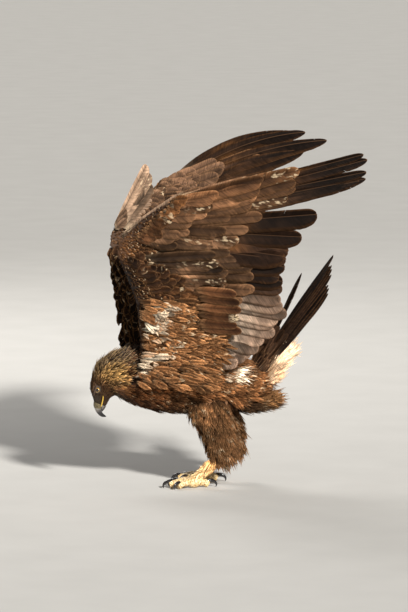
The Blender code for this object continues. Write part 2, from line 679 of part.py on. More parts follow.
def tail_parts():
    """Tail of twelve feathers with the coverts over its root, and the bundles below it."""
    along, across, upper = tail_frame()
    pieces = [ellipsoid(TAIL_ROOT + along * 0.028, (along * 0.052, across * 0.030, upper * 0.016), 10, 6)]
    for index in range(12):
        place = index - 5.5
        stray = index == 11
        angle = STRAY_ANGLE if stray else place / 5.5 * TAIL_FAN
        ray = along * math.cos(angle) + across * math.sin(angle)
        side = across * math.cos(angle) - along * math.sin(angle)
        depth = abs(place) * 0.0016
        start = TAIL_ROOT + along * 0.030 + across * place * 0.0030 + upper * (0.0065 - depth)
        length = STRAY_LENGTH if stray else TAIL_LENGTH - 0.030 - abs(place) * 0.0045
        pieces.append(free_vane(start, ray, side, length, 0.022, BROAD, -0.008, 0.0010))
    for index in range(5):
        place = index - 2
        angle = place * math.radians(7)
        ray = along * math.cos(angle) + across * math.sin(angle) + upper * 0.03
        ray = ray / np.linalg.norm(ray)
        side = np.cross(upper, ray)
        side = side / np.linalg.norm(side) * -1
        start = TAIL_ROOT + along * 0.022 + across * place * 0.008 + upper * (0.0098 - abs(place) * 0.0016)
        pieces.append(free_vane(start, ray, side, 0.115, 0.014, COVERT, 0.0, 0.0010))
    build_node("tail", FLIGHT, pieces, [trunk_cutter()])
    tail_block = loft([[TAIL_ROOT + along * length + across * out_sign * (0.034 + length * 0.36)
                        + upper * level for out_sign, level in ((-1, -0.0175 + length * 0.012),
                                                               (1, -0.0175 + length * 0.012),
                                                               (1, 0.03), (-1, 0.03))]
                       for length in (-0.03, 0.10, 0.36)])
    bundle("undertail", TAWNY, [(0.045, 0, 0.222), (0.078, 0, 0.246), (0.116, 0, 0.290), (0.140, 0, 0.322),
                                (0.160, 0, 0.356)],
           [0.022, 0.025, 0.022, 0.016, 0.006], 0.95,
           [trunk_cutter(), tail_block, block((-0.1, -0.2, 0.1), (0.3, 0.2, VENT_TOP + GAP))])
    bundle("vent", PLUMAGE, [(0.000, 0, 0.200), (0.040, 0, 0.196), (0.075, 0, 0.197), (0.100, 0, 0.199),
                             (0.118, 0, 0.201)],
           [0.030, 0.030, 0.026, 0.019, 0.008], 1.3,
           [trunk_cutter(), block((-0.1, -0.2, VENT_TOP), (0.3, 0.2, 0.5))])


def bundle(name, finish, path, radii, flatness, cutters):
    """A core with flat, tapered locks laid round it that run out to the bundle's end."""
    draw = np.random.default_rng(SEED)
    path = np.array(path, float)
    core = smooth_rows(np.column_stack([path, radii]), np.linspace(0, 2.2, 5))
    pieces = [tube(core[:, :3], core[:, 3] * np.array([1, 1, 0.95, 0.8, 0.45]), 8)]
    for tier, (begin, end) in enumerate(((0.9, 3.1), (1.55, 4.0))):
        for step in range(4 + tier):
            turn = 2 * math.pi * (step + 0.5) / (4 + tier)
            rows = smooth_rows(np.column_stack([path, radii]), [begin, end + draw.uniform(-0.15, 0.0)])
            ahead = path[3] - path[1]
            ahead = ahead / np.linalg.norm(ahead)
            up = np.cross(ahead, (0.0, 1.0, 0.0))
            away = np.array([0.0, 1.0, 0.0]) * math.cos(turn) * flatness + up * math.sin(turn)
            unit = away / np.linalg.norm(away)
            start = rows[0][:3] + away * rows[0][3] * 0.72
            finish_place = rows[1][:3] + away * rows[1][3] * 0.95
            run = finish_place - start
            length = np.linalg.norm(run)
            run = run / length
            side = np.cross(unit, run)
            side = side / np.linalg.norm(side)
            pieces.append(free_vane(start, run, side, length, 0.0130, TUFT, 0.0, 0.0032))
    build_node(name, finish, pieces, cutters)


# Legs: the left foot stands a little ahead of the right
LEG_OUT = 0.052
FOOT_X = {LEFT: -0.0900, RIGHT: -0.0600}
# height, front x, rear x, half width and distance from the middle, of the left thigh with its feathers
THIGH = [
    (0.240, -0.085, -0.015, 0.018, 0.040),
    (0.205, -0.110, 0.000, 0.034, 0.047),
    (0.172, -0.116, 0.008, 0.041, 0.053),
    (0.143, -0.101, 0.018, 0.041, 0.055),
    (0.108, -0.089, 0.027, 0.038, 0.055),
    (0.073, -0.077, 0.032, 0.033, 0.054),
    (0.052, -0.062, 0.030, 0.026, 0.053),
    (0.038, -0.040, 0.022, 0.014, 0.052),
]
ANKLE = (-0.010, 0.083)
TARSUS_RADII = [0.0120, 0.0140, 0.0132, 0.0115, 0.0098]


def leg_shift(side):
    """How far back a leg stands from the left one."""
    return FOOT_X[side] - FOOT_X[LEFT]


def thigh_place(side, place, turn, scale):
    """A place on the thigh's outline, or inside it, at a height and a turn about its axis."""
    height, front, rear, half, out = smooth_rows(THIGH, [place])[0]
    return np.array([(front + rear) / 2 + leg_shift(side) + (rear - front) / 2 * scale * math.cos(turn),
                     side * out + half * scale * math.sin(turn), height])


def thigh_ring(side, place, scale, segments=12):
    """One level ring of the thigh's core."""
    return [thigh_place(side, place, 2 * math.pi * step / segments, scale) for step in range(segments)]


def tarsus_tube(side, grow=0.0):
    """The feathered shank from the ankle to the foot."""
    shift = leg_shift(side)
    foot = np.array([FOOT_X[side] + 0.004, side * LEG_OUT, 0.022])
    ankle = np.array([ANKLE[0] + shift, side * (LEG_OUT + 0.004), ANKLE[1]])
    path = [ankle + (foot - ankle) * t for t in np.linspace(0, 1, 5)]
    return tube(path, TARSUS_RADII, 10, grow)


def toe_path(side, direction, length, lift):
    """Centres of one toe from the foot's middle: arched, and down at its end."""
    base = np.array([FOOT_X[side], side * LEG_OUT, 0.0])
    points = []
    for t in np.linspace(0, 1, 5):
        height = 0.0135 * (1 - t) + 0.0072 * t + lift * math.sin(math.pi * t)
        points.append(base + direction * length * t + np.array([0.0, 0.0, height]))
    return points


TOES = {
    "inner": (-28, 0.046, 0.0105, 0.030),
    "middle": (4, 0.056, 0.0105, 0.027),
    "outer": (36, 0.046, 0.0095, 0.024),
    "hind": (188, 0.036, 0.0110, 0.034),
}


def claw_rings(side, heading, start, size):
    """A curved, tapering claw that leaves the toe upward and comes down to the floor."""
    path = []
    radii = []
    for t in np.linspace(0, 1, 6):
        turn = t * math.radians(118)
        reach = size * 0.62 * math.sin(turn) + size * 0.10 * t
        drop = size * 0.62 * (math.cos(turn) - 1) + 0.0070
        path.append(start + heading * reach + np.array([0.0, 0.0, drop]))
        radii.append(0.0048 * (1 - t) ** 0.8 + 0.0006)
    return path, radii


def leg_parts(name, side):
    """Thigh with its trousers, shank, foot with four toes, and four claws."""
    pieces = [loft([thigh_ring(side, place, 1 - 0.045 * place) for place in np.linspace(0, 4.5, 6)])]
    draw = np.random.default_rng(SEED + 1)
    for tier, begin in enumerate((2.2, 3.4)):
        for step in range(7):
            turn = 2 * math.pi * (step + 0.5 * (tier % 2)) / 7
            end = begin + 2.6 + draw.uniform(-0.25, 0.1) + 0.5 * tier
            start = thigh_place(side, begin, turn, 0.80)
            tip = thigh_place(side, min(end, 6.7), turn, 1.0)
            away = thigh_place(side, begin, turn, 1.2) - start
            run = tip - start
            length = np.linalg.norm(run)
            run = run / length
            across = np.cross(away, run)
            across = across / np.linalg.norm(across)
            pieces.append(free_vane(start, run, across, length, 0.0185, TUFT, 0.003, 0.0030))
    build_node(f"thigh_{name}", PLUMAGE, pieces, [trunk_cutter(), tarsus_tube(side, GAP)])
    build_node(f"tarsus_{name}", TAWNY, [tarsus_tube(side)])
    pad = ellipsoid([FOOT_X[side] + 0.001, side * LEG_OUT, 0.0125],
                    [(0.017, 0, 0), (0, 0.0135, 0), (0, 0, 0.0122)], 10, 6)
    pieces = [pad]
    claws = []
    for toe, (degrees, length, radius, claw) in TOES.items():
        turn = math.radians(180 + side * -degrees)
        heading = np.array([math.cos(turn), math.sin(turn), 0.0])
        path = toe_path(side, heading, length, 0.004)
        radii = [radius * (1 - 0.30 * t + 0.06 * math.sin(5 * math.pi * t)) for t in np.linspace(0, 1, 5)]
        pieces.append(tube(path, radii, 7, floor=0.0))
        toe_cutter = tube(path, radii, 7, grow=GAP)
        claws.append((toe, heading, path[-1] - heading * 0.004, claw, toe_cutter))
    build_node(f"foot_{name}", YELLOW, pieces, [tarsus_tube(side, GAP)])
    for toe, heading, start, claw, toe_cutter in claws:
        path, radii = claw_rings(side, heading, start, claw)
        lowest = min(point[2] - radius for point, radius in zip(path, radii))
        lift = 0.0 if lowest > 0.0002 else 0.0002 - lowest
        path = [point + np.array([0.0, 0.0, lift * index / 5]) for index, point in enumerate(path)]
        build_node(f"claw_{name}_{toe}", HORN, [tube(path, radii, 6, floor=0.0)], [toe_cutter])


head_parts()
bill_parts()
neck()
build_node("torso", PLUMAGE, [loft(body_rings(TORSO_PLACES))])
for side_name, side_sign in SIDES.items():
    wing_parts(side_name, side_sign)
    leg_parts(side_name, side_sign)
tail_parts()

low = [1.0, 1.0, 1.0]
high = [-1.0, -1.0, -1.0]
triangles = 0
for item in bpy.data.objects:
    triangles += len(item.data.polygons)
    print(item.name, len(item.data.polygons))
    for corner in item.bound_box:
        low = [min(a, b) for a, b in zip(low, corner)]
        high = [max(a, b) for a, b in zip(high, corner)]
print("nodes", len(bpy.data.objects), "triangles", triangles)
print("box", [round(v, 4) for v in low], [round(v, 4) for v in high])
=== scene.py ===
# %% [markdown]
# # A golden eagle with its wings raised
# This lesson dresses a packed set of plain solids as a museum model of a golden eagle.
# The solids give the true size and place of each part. Here they get a skin, a coat of
# feathers, long flight feathers, eyes, a bill and feet. Each step says what it is on the real
# bird, how it could be made, and why this way was chosen.

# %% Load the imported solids
import json
import math

import bmesh
import bpy
import numpy as np
from mathutils.kdtree import KDTree
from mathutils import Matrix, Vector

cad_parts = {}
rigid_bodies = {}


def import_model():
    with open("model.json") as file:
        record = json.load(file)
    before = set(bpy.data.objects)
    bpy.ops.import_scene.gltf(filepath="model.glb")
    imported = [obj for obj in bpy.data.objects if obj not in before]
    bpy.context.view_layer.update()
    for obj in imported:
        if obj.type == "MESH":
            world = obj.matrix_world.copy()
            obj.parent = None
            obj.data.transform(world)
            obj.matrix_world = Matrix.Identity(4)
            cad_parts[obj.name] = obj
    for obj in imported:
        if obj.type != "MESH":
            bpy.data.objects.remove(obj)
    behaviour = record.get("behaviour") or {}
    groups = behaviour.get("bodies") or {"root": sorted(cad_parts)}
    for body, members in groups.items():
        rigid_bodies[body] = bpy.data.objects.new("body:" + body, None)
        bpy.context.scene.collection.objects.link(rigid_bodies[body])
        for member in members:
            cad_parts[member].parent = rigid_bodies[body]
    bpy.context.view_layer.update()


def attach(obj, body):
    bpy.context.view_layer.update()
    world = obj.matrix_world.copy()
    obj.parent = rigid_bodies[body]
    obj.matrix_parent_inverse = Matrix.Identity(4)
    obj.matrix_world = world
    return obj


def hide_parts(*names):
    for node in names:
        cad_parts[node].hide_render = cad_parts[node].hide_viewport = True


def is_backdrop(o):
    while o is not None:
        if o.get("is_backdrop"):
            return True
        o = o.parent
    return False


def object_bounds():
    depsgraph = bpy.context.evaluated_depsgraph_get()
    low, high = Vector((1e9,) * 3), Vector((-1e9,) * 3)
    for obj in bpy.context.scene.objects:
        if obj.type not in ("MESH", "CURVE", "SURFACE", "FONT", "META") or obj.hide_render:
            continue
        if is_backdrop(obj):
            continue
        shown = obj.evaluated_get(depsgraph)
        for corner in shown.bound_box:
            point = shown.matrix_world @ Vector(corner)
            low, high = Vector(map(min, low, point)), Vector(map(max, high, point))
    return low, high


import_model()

# %% [markdown]
# ## Where the bird stands
# The bird faces -X and its left side is towards -Y. Its measures were taken in the bird's own
# coordinates, and ORIGIN is where the model's origin lies in them, so every mesh is moved by
# -ORIGIN when it is made. The sizes below repeat those of the solids, because the skin and the
# feathers have to lie exactly on them.

# %% Named sizes of head, body and bill
ORIGIN = np.array([-0.0187, 0.0322, 0.0])
LEFT = -1
RIGHT = 1
SIDES = {"left": LEFT, "right": RIGHT}
SEED = 20
# back line x and z, belly line x and z, half width, from the cere to the root of the tail
BODY = [
    (-0.3191, 0.1981, -0.2896, 0.1872, 0.0125),
    (-0.3262, 0.2310, -0.2801, 0.2069, 0.0290),
    (-0.3221, 0.2605, -0.2679, 0.2132, 0.0340),
    (-0.3103, 0.2864, -0.2549, 0.2056, 0.0370),
    (-0.2891, 0.3028, -0.2395, 0.1959, 0.0430),
    (-0.2631, 0.3143, -0.2218, 0.1887, 0.0520),
    (-0.2348, 0.3271, -0.2006, 0.1814, 0.0640),
    (-0.1947, 0.3338, -0.1711, 0.1733, 0.0770),
    (-0.1475, 0.3369, -0.1310, 0.1690, 0.0840),
    (-0.0932, 0.3340, -0.0838, 0.1662, 0.0840),
    (-0.0342, 0.3217, -0.0342, 0.1693, 0.0760),
    (0.0153, 0.3023, 0.0177, 0.1794, 0.0620),
    (0.0531, 0.2783, 0.0625, 0.1979, 0.0430),
    (0.0743, 0.2592, 0.0791, 0.2214, 0.0200),
]
BODY_ROUNDNESS = 2.25
BODY_END = 13.0
EYE_MIDDLE = np.array([-0.3122, 0.0, 0.2296])
HEAD_PITCH = math.radians(70)
EYE_OUT = 0.0205
EYE_RADIUS = 0.0100
CULMEN = [(0.0320, -0.0040), (0.0400, -0.0066), (0.0472, -0.0125), (0.0540, -0.0200),
          (0.0585, -0.0300), (0.0580, -0.0385), (0.0552, -0.0438)]
TOMIUM = [(0.0320, -0.0225), (0.0370, -0.0240), (0.0420, -0.0262), (0.0462, -0.0292),
          (0.0500, -0.0335), (0.0520, -0.0380), (0.0540, -0.0432)]
GONYS = [(0.0320, -0.0350), (0.0370, -0.0352), (0.0420, -0.0345), (0.0458, -0.0318)]
BILL_HALF_WIDTHS = [[0.0118], [0.0108], [0.0092], [0.0074], [0.0052], [0.0028], [0.0006]]
CERE_SHARE = 1.65
print("body profile has", len(BODY), "stations")

# %% Named sizes of wings, tail and legs
SHOULDER = (-0.188, 0.060, 0.320)
WING_LEAN = math.radians(20)
WING_SPLAY = math.radians(18)
# front a and b, rear a and b, half thickness, in the wing's own plane
ARM_PLATE = [
    (-0.030, -0.040, 0.105, -0.052, 0.0150),
    (-0.030, 0.000, 0.132, -0.010, 0.0170),
    (-0.029, 0.060, 0.150, 0.048, 0.0150),
    (-0.031, 0.122, 0.156, 0.115, 0.0130),
    (-0.046, 0.185, 0.130, 0.182, 0.0115),
    (-0.066, 0.248, 0.030, 0.275, 0.0090),
]
HAND_PLATE = [
    (-0.066, 0.248, 0.030, 0.275, 0.0090),
    (-0.055, 0.283, 0.044, 0.305, 0.0085),
    (-0.012, 0.329, 0.066, 0.331, 0.0075),
    (0.040, 0.371, 0.092, 0.358, 0.0060),
    (0.098, 0.401, 0.120, 0.386, 0.0040),
]
WRIST = (-0.060, 0.260)
BOW_ANGLE = math.radians(25)
BOW = {LEFT: 0.03, RIGHT: 0.19}
SECONDARY_ROOTS = [(0.000, 0.256), (0.050, 0.228), (0.092, 0.190), (0.120, 0.147), (0.130, 0.100),
                   (0.128, 0.050), (0.112, 0.004)]
SECONDARY_TIPS = [(0.338, 0.268), (0.330, 0.222), (0.322, 0.170), (0.328, 0.118), (0.302, 0.071),
                  (0.253, 0.025), (0.211, -0.015)]
PRIMARY_ROOTS = [(0.012, 0.281), (0.036, 0.310), (0.066, 0.343), (0.094, 0.380)]
ALULA_START = (-0.050, 0.290)
ALULA_ANGLE = {LEFT: math.radians(35), RIGHT: math.radians(54)}
ALULA_LENGTHS = [0.176, 0.162, 0.142, 0.116]
TAIL_ROOT = np.array([0.052, 0.0, 0.252])
TAIL_RISE = math.radians(56)
TAIL_ROLL = math.radians(24)
UNDERTAIL_PATH = [(0.045, 0, 0.222), (0.078, 0, 0.246), (0.116, 0, 0.290), (0.140, 0, 0.322),
                  (0.160, 0, 0.356)]
UNDERTAIL_RADII = [0.022, 0.025, 0.022, 0.016, 0.006]
VENT_PATH = [(0.000, 0, 0.200), (0.040, 0, 0.196), (0.075, 0, 0.197), (0.100, 0, 0.199),
             (0.118, 0, 0.201)]
VENT_RADII = [0.030, 0.030, 0.026, 0.019, 0.008]
LEG_OUT = 0.052
FOOT_X = {LEFT: -0.0900, RIGHT: -0.0600}
# height, front x, rear x, half width and distance from the middle
THIGH = [
    (0.240, -0.085, -0.015, 0.018, 0.040),
    (0.205, -0.110, 0.000, 0.034, 0.047),
    (0.172, -0.116, 0.008, 0.041, 0.053),
    (0.143, -0.101, 0.018, 0.041, 0.055),
    (0.108, -0.089, 0.027, 0.038, 0.055),
    (0.073, -0.077, 0.032, 0.033, 0.054),
    (0.052, -0.062, 0.030, 0.026, 0.053),
    (0.038, -0.040, 0.022, 0.014, 0.052),
]
ANKLE = (-0.010, 0.083)
TARSUS_RADII = [0.0120, 0.0140, 0.0132, 0.0115, 0.0098]
# turn from straight ahead in degrees, length, radius and size of the claw
TOES = {
    "inner": (-28, 0.046, 0.0105, 0.030),
    "middle": (4, 0.056, 0.0105, 0.027),
    "outer": (36, 0.046, 0.0095, 0.024),
    "hind": (188, 0.036, 0.0110, 0.034),
}
print("wing plates have", len(ARM_PLATE), "and", len(HAND_PLATE), "stations")

# %% [markdown]
# ## The camera and the light
# The photograph was taken with a long lens from the bird's left, a little above it, so the
# camera stands eleven metres away on the same line. A long lens keeps the near and the far
# wing in true proportion. The light is a plain studio set: a sun-like lamp high on the right,
# firm enough to draw each feather, a weak soft one that opens the shadows, and one behind that
# lights the edges.

# %% Place the camera
CAMERA_TURN = math.radians(-5)
CAMERA_RISE = math.radians(6)
CAMERA_REACH = 11.0
FRAME_HEIGHT = 1.438
VIEW_MIDDLE = (-0.0599, 0.4183)
SENSOR = 36.0


def in_scene(name, data):
    """A new object, linked to the scene."""
    item = bpy.data.objects.new(name, data)
    bpy.context.scene.collection.objects.link(item)
    return item


back = np.array([math.sin(CAMERA_TURN) * math.cos(CAMERA_RISE),
                 -math.cos(CAMERA_TURN) * math.cos(CAMERA_RISE), math.sin(CAMERA_RISE)])
right = np.array([math.cos(CAMERA_TURN), math.sin(CAMERA_TURN), 0.0])
target = right * VIEW_MIDDLE[0] + np.cross(back, right) * VIEW_MIDDLE[1] - ORIGIN
camera = in_scene("camera", bpy.data.cameras.new("camera"))
camera.data.sensor_width = SENSOR
camera.data.lens = SENSOR * CAMERA_REACH / FRAME_HEIGHT
camera.data.clip_end = 200.0
camera.location = target + back * CAMERA_REACH
camera.rotation_euler = (math.pi / 2 - CAMERA_RISE, 0.0, CAMERA_TURN)
bpy.context.scene.camera = camera
print("camera at", [round(v, 2) for v in camera.location])

# %% Hang the lamps
KEY_ANGLES = (math.radians(63), 0.0, math.radians(20))
KEY_SOFTNESS = math.radians(6)
KEY_POWER = 6.0
KEY_COLOUR = (1.0, 0.965, 0.91)
# place, size, power and colour
LAMPS = {
    "fill": ((-4.2, -3.2, 1.4), 3.0, 13.0, (0.93, 0.96, 1.0)),
    "rim": ((-1.6, 3.4, 3.0), 1.8, 90.0, (1.0, 0.97, 0.93)),
}
LAMP_AIM = (0.0, 0.0, 0.38)
ROOM_COLOUR = (0.90, 0.89, 0.88, 1.0)
ROOM_POWER = 0.105


def hang_lamp(name, kind, power, colour):
    """A lamp that shines down its own -Z."""
    lamp = in_scene(name, bpy.data.lights.new(name, kind))
    lamp.data.energy = power
    lamp.data.color = colour
    return lamp


key = hang_lamp("key", "SUN", KEY_POWER, KEY_COLOUR)
key.data.angle = KEY_SOFTNESS
key.rotation_euler = KEY_ANGLES
for name, (place, size, power, colour) in LAMPS.items():
    lamp = hang_lamp(name, "AREA", power, colour)
    lamp.data.size = size
    lamp.location = place
    aim = np.array(LAMP_AIM) - np.array(place)
    lamp.rotation_euler = (math.acos(-aim[2] / np.linalg.norm(aim)), 0.0,
                           math.atan2(aim[1], aim[0]) - math.pi / 2)
world = bpy.data.worlds.new("studio")
world.use_nodes = True
room = world.node_tree.nodes["Background"].inputs
room["Color"].default_value = ROOM_COLOUR
room["Strength"].default_value = ROOM_POWER
bpy.context.scene.world = world
bpy.context.scene.view_settings.view_transform = "Standard"
print("lamps: key,", ", ".join(LAMPS))

# %% [markdown]
# ## Small tools
# Colours are easier to name as the eye reads them, from 0 to 255, but Blender mixes light in
# linear numbers, so `shade` turns one into the other. `smooth_rows` reads values from a smooth
# curve through a short table, which is how every rounded form below gets its stations.

# %% Colour and curve helpers
def shade(red, green, blue):
    """A colour as the eye reads it, 0 to 255, in linear numbers."""
    value = np.array([red, green, blue]) / 255
    return np.where(value <= 0.04045, value / 12.92, ((value + 0.055) / 1.055) ** 2.4)


def smooth_rows(rows, places):
    """Rows of numbers read from a smooth curve through the given rows."""
    rows = np.array(rows, float)
    padded = np.vstack([2 * rows[0] - rows[1], rows, 2 * rows[-1] - rows[-2]])
    places = np.atleast_1d(np.asarray(places, float))
    index = np.clip(places.astype(int), 0, len(rows) - 2)
    t = (places - index)[:, None]
    p0, p1, p2, p3 = (padded[index + k] for k in range(4))
    return 0.5 * (2 * p1 + (p2 - p0) * t + (2 * p0 - 5 * p1 + 4 * p2 - p3) * t ** 2
                  + (3 * p1 - p0 - 3 * p2 + p3) * t ** 3)


def keyed(keys, places):
    """Values between keys that are spread evenly from 0 to 1."""
    keys = np.array(keys, float)
    steps = np.linspace(0, 1, len(keys))
    if keys.ndim == 1:
        return np.interp(places, steps, keys)
    return np.stack([np.interp(places, steps, keys[:, k]) for k in range(keys.shape[1])], axis=-1)


def unit(vectors):
    """Vectors scaled to length one."""
    vectors = np.asarray(vectors, float)
    return vectors / np.maximum(np.linalg.norm(vectors, axis=-1, keepdims=True), 1e-9)


def soft_step(value, low, high):
    """0 below low, 1 above high and a smooth rise between."""
    t = np.clip((np.asarray(value, float) - low) / (high - low), 0, 1)
    return t * t * (3 - 2 * t)


def blend(first, second, share):
    """Mix two colours or directions by a share for each point."""
    share = np.asarray(share, float)[..., None]
    return np.asarray(first) * (1 - share) + np.asarray(second) * share


print("warm brown is", shade(120, 78, 46).round(3))

# %% [markdown]
# ## Meshes from rings
# Most parts of an animal are round forms that change along a line: a neck, a toe, a claw. Each
# is a row of rings joined by faces, with a strip of faces across each end. All points and faces
# are collected first and the Blender mesh is made once, which is much faster than adding shape
# by shape.

# %% Faces, meshes and finished pieces
def ring_faces(rings, around):
    """Faces between rings of equal count, with a strip that closes each end."""
    faces = []
    for row in range(rings - 1):
        for step in range(around):
            a, b = row * around + step, row * around + (step + 1) % around
            faces.append((a, b, b + around, a + around))
    for start, turn in ((0, -1), ((rings - 1) * around, 1)):
        low, high = 0, around - 1
        while high - low >= 2:
            face = [start + corner for corner in dict.fromkeys((low, low + 1, high - 1, high))]
            faces.append(tuple(face[::turn]))
            low, high = low + 1, high - 1
    return faces


def ring_mesh(name, shapes, shift=ORIGIN):
    """One mesh from several closed rows of rings."""
    points, faces = [], []
    for rings in shapes:
        rings = np.asarray(rings, float)
        start = len(points)
        faces += [tuple(start + corner for corner in face) for face in ring_faces(*rings.shape[:2])]
        points += rings.reshape(-1, 3).tolist()
    mesh = bpy.data.meshes.new(name)
    mesh.from_pydata((np.array(points) - shift).tolist(), [], faces)
    return mesh


def write_attribute(mesh, name, values):
    """Store a number or a vector on every point of a mesh."""
    values = np.asarray(values, float)
    kind, field = ("FLOAT", "value") if values.ndim == 1 else ("FLOAT_VECTOR", "vector")
    mesh.attributes.new(name, kind, "POINT").data.foreach_set(field, values.ravel())


def read_numbers(items, field, width=1, kind=float):
    """Numbers that Blender keeps for every item of a list, as rows."""
    values = np.empty(len(items) * width, kind)
    items.foreach_get(field, values)
    return values.reshape(-1, width) if width > 1 else values


def face_outwards(mesh):
    """Turn the faces of closed shells outwards."""
    shell = bmesh.new()
    shell.from_mesh(mesh)
    bmesh.ops.recalc_face_normals(shell, faces=shell.faces)
    shell.to_mesh(mesh)
    shell.free()


def smooth_and_paint(mesh, material):
    """Smooth shading and one material for the whole mesh."""
    mesh.polygons.foreach_set("use_smooth", np.full(len(mesh.polygons), True))
    mesh.materials.clear()
    mesh.materials.append(material)


def plain_mesh(item):
    """The mesh that an object's modifiers make."""
    return bpy.data.meshes.new_from_object(item.evaluated_get(bpy.context.evaluated_depsgraph_get()))


def triangles_of(mesh):
    """How many triangles a mesh makes."""
    return sum(len(p.vertices) - 2 for p in mesh.polygons)


def keep_piece(item, slot, *nodes):
    """Let a piece ride on the only body, and stand for its solids."""
    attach(item, "root")
    if nodes:
        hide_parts(*nodes)


def round_piece(name, shapes, material, slot, *nodes):
    """One finished piece from several closed rows of rings."""
    mesh = ring_mesh(name, shapes)
    face_outwards(mesh)
    smooth_and_paint(mesh, material)
    keep_piece(in_scene(name, mesh), slot, *nodes)


def around_circle(count):
    """Angles of a full turn."""
    return np.linspace(0, 2 * math.pi, count, endpoint=False)


def tube_rings(path, radii, around):
    """Round rings along a path of points."""
    path = np.asarray(path, float)
    side = np.array([0.0, 1.0, 0.0])
    turn = around_circle(around)[:, None]
    rings = []
    for centre, run, radius in zip(path, unit(np.gradient(path, axis=0)), radii):
        across = unit(side - run * (side @ run))
        rings.append(centre + (across * np.cos(turn) + np.cross(across, run) * np.sin(turn)) * radius)
    return np.array(rings)


def ball_rings(centre, axes, rings, around):
    """Rings of an ellipsoid with three half axes."""
    lean = np.linspace(0.02, math.pi - 0.02, rings)[:, None, None]
    turn = around_circle(around)[None, :, None]
    axes = np.asarray(axes, float)
    return (np.asarray(centre) + axes[0] * np.cos(lean) + axes[1] * np.sin(lean) * np.cos(turn)
            + axes[2] * np.sin(lean) * np.sin(turn))


print("a tube of 3 rings of 6 has", len(ring_faces(3, 6)), "faces")

# %% [markdown]
# ## The finish of a feather
# A vane is made of fine barbs that leave the shaft at a slant. To the eye it reads as soft
# streaks, a darker shaft, and a worn, paler edge. Painting that on an image would fix it to one
# bird, so the material works it out: every point of a feather carries how far it lies from the
# shaft and along it (`lay`), its feather's own colour (`tint`) and a random number (`tone`).

# %% A short way to wire material nodes
class Finish:
    """A new material with helpers that add nodes and join them."""

    def __init__(self, name, roughness=0.6, **sockets):
        self.material = bpy.data.materials.new(name)
        self.material.use_nodes = True
        self.nodes = self.material.node_tree.nodes
        self.shader = self.nodes["Principled BSDF"]
        for socket, value in {"Roughness": roughness, **sockets}.items():
            self.shader.inputs[socket.replace("_", " ")].default_value = value

    def add(self, kind, out=0, settings=None, **inputs):
        """Add a node, set or join its inputs by place (i0, i1) or name, and give one output."""
        node = self.nodes.new(kind)
        for key, value in (settings or {}).items():
            setattr(node, key, value)
        for key, value in inputs.items():
            self.join(value, node.inputs[int(key[1:]) if key[1:].isdigit() else key.replace("_", " ")])
        return node.outputs[out]

    def join(self, value, socket):
        """Link an output to a socket, or set the socket's own value."""
        if isinstance(value, bpy.types.NodeSocket):
            self.material.node_tree.links.new(value, socket)
        elif np.ndim(value) and len(value) == 3 and socket.type == "RGBA":
            socket.default_value = (*value, 1.0)
        else:
            socket.default_value = value

    def math(self, operation, first, second=0.0, clamp=False):
        """One sum."""
        return self.add("ShaderNodeMath", settings={"operation": operation, "use_clamp": clamp},
                        i0=first, i1=second, i2=0.0)

    def plus(self, first, second):
        """First plus second."""
        return self.math("ADD", first, second)

    def times(self, first, *others):
        """The product of all."""
        for other in others:
            first = self.math("MULTIPLY", first, other)
        return first

    def vectors(self, operation, first, second=(0.0, 0.0, 0.0), out=0):
        """One sum with vectors."""
        return self.add("ShaderNodeVectorMath", out, {"operation": operation}, i0=first, i1=second)

    def vector(self, x, y, z=0.0):
        """A vector from three numbers."""
        return self.add("ShaderNodeCombineXYZ", i0=x, i1=y, i2=z)

    def mix(self, share, first, second, blend="MIX"):
        """Mix two colours."""
        return self.add("ShaderNodeMix", 2, {"data_type": "RGBA", "blend_type": blend}, i0=share, i6=first, i7=second)

    def attribute(self, name, out):
        """A number, vector or colour that the mesh carries."""
        return self.add("ShaderNodeAttribute", out, {"attribute_name": name})

    def ramp(self, value, *stops):
        """A colour or grey read from stops of place and colour."""
        band = self.add("ShaderNodeValToRGB", i0=value)
        elements = band.node.color_ramp.elements
        while len(elements) < len(stops):
            elements.new(0.5)
        for element, (place, colour) in zip(elements, stops):
            element.position = place
            element.color = (*np.broadcast_to(colour, 3), 1.0)
        return band

    def noise(self, vector, scale, detail=2.0):
        """Soft noise at a scale."""
        return self.add("ShaderNodeTexNoise", Vector=vector, Scale=scale, Detail=detail)

    def spot(self):
        """The place on the object."""
        return self.add("ShaderNodeTexCoord", 3)

    def bump(self, height, distance, strength=1.0):
        """Turn a height into relief."""
        return self.add("ShaderNodeBump", Height=height, Distance=distance, Strength=strength)

    def done(self, colour, normal=None):
        """Join the results to the shader."""
        self.join(colour, self.shader.inputs["Base Color"])
        if normal is not None:
            self.join(normal, self.shader.inputs["Normal"])
        return self.material


print("finish helper ready")

# %% Feather finish
TICK_COLOUR = shade(240, 214, 176)


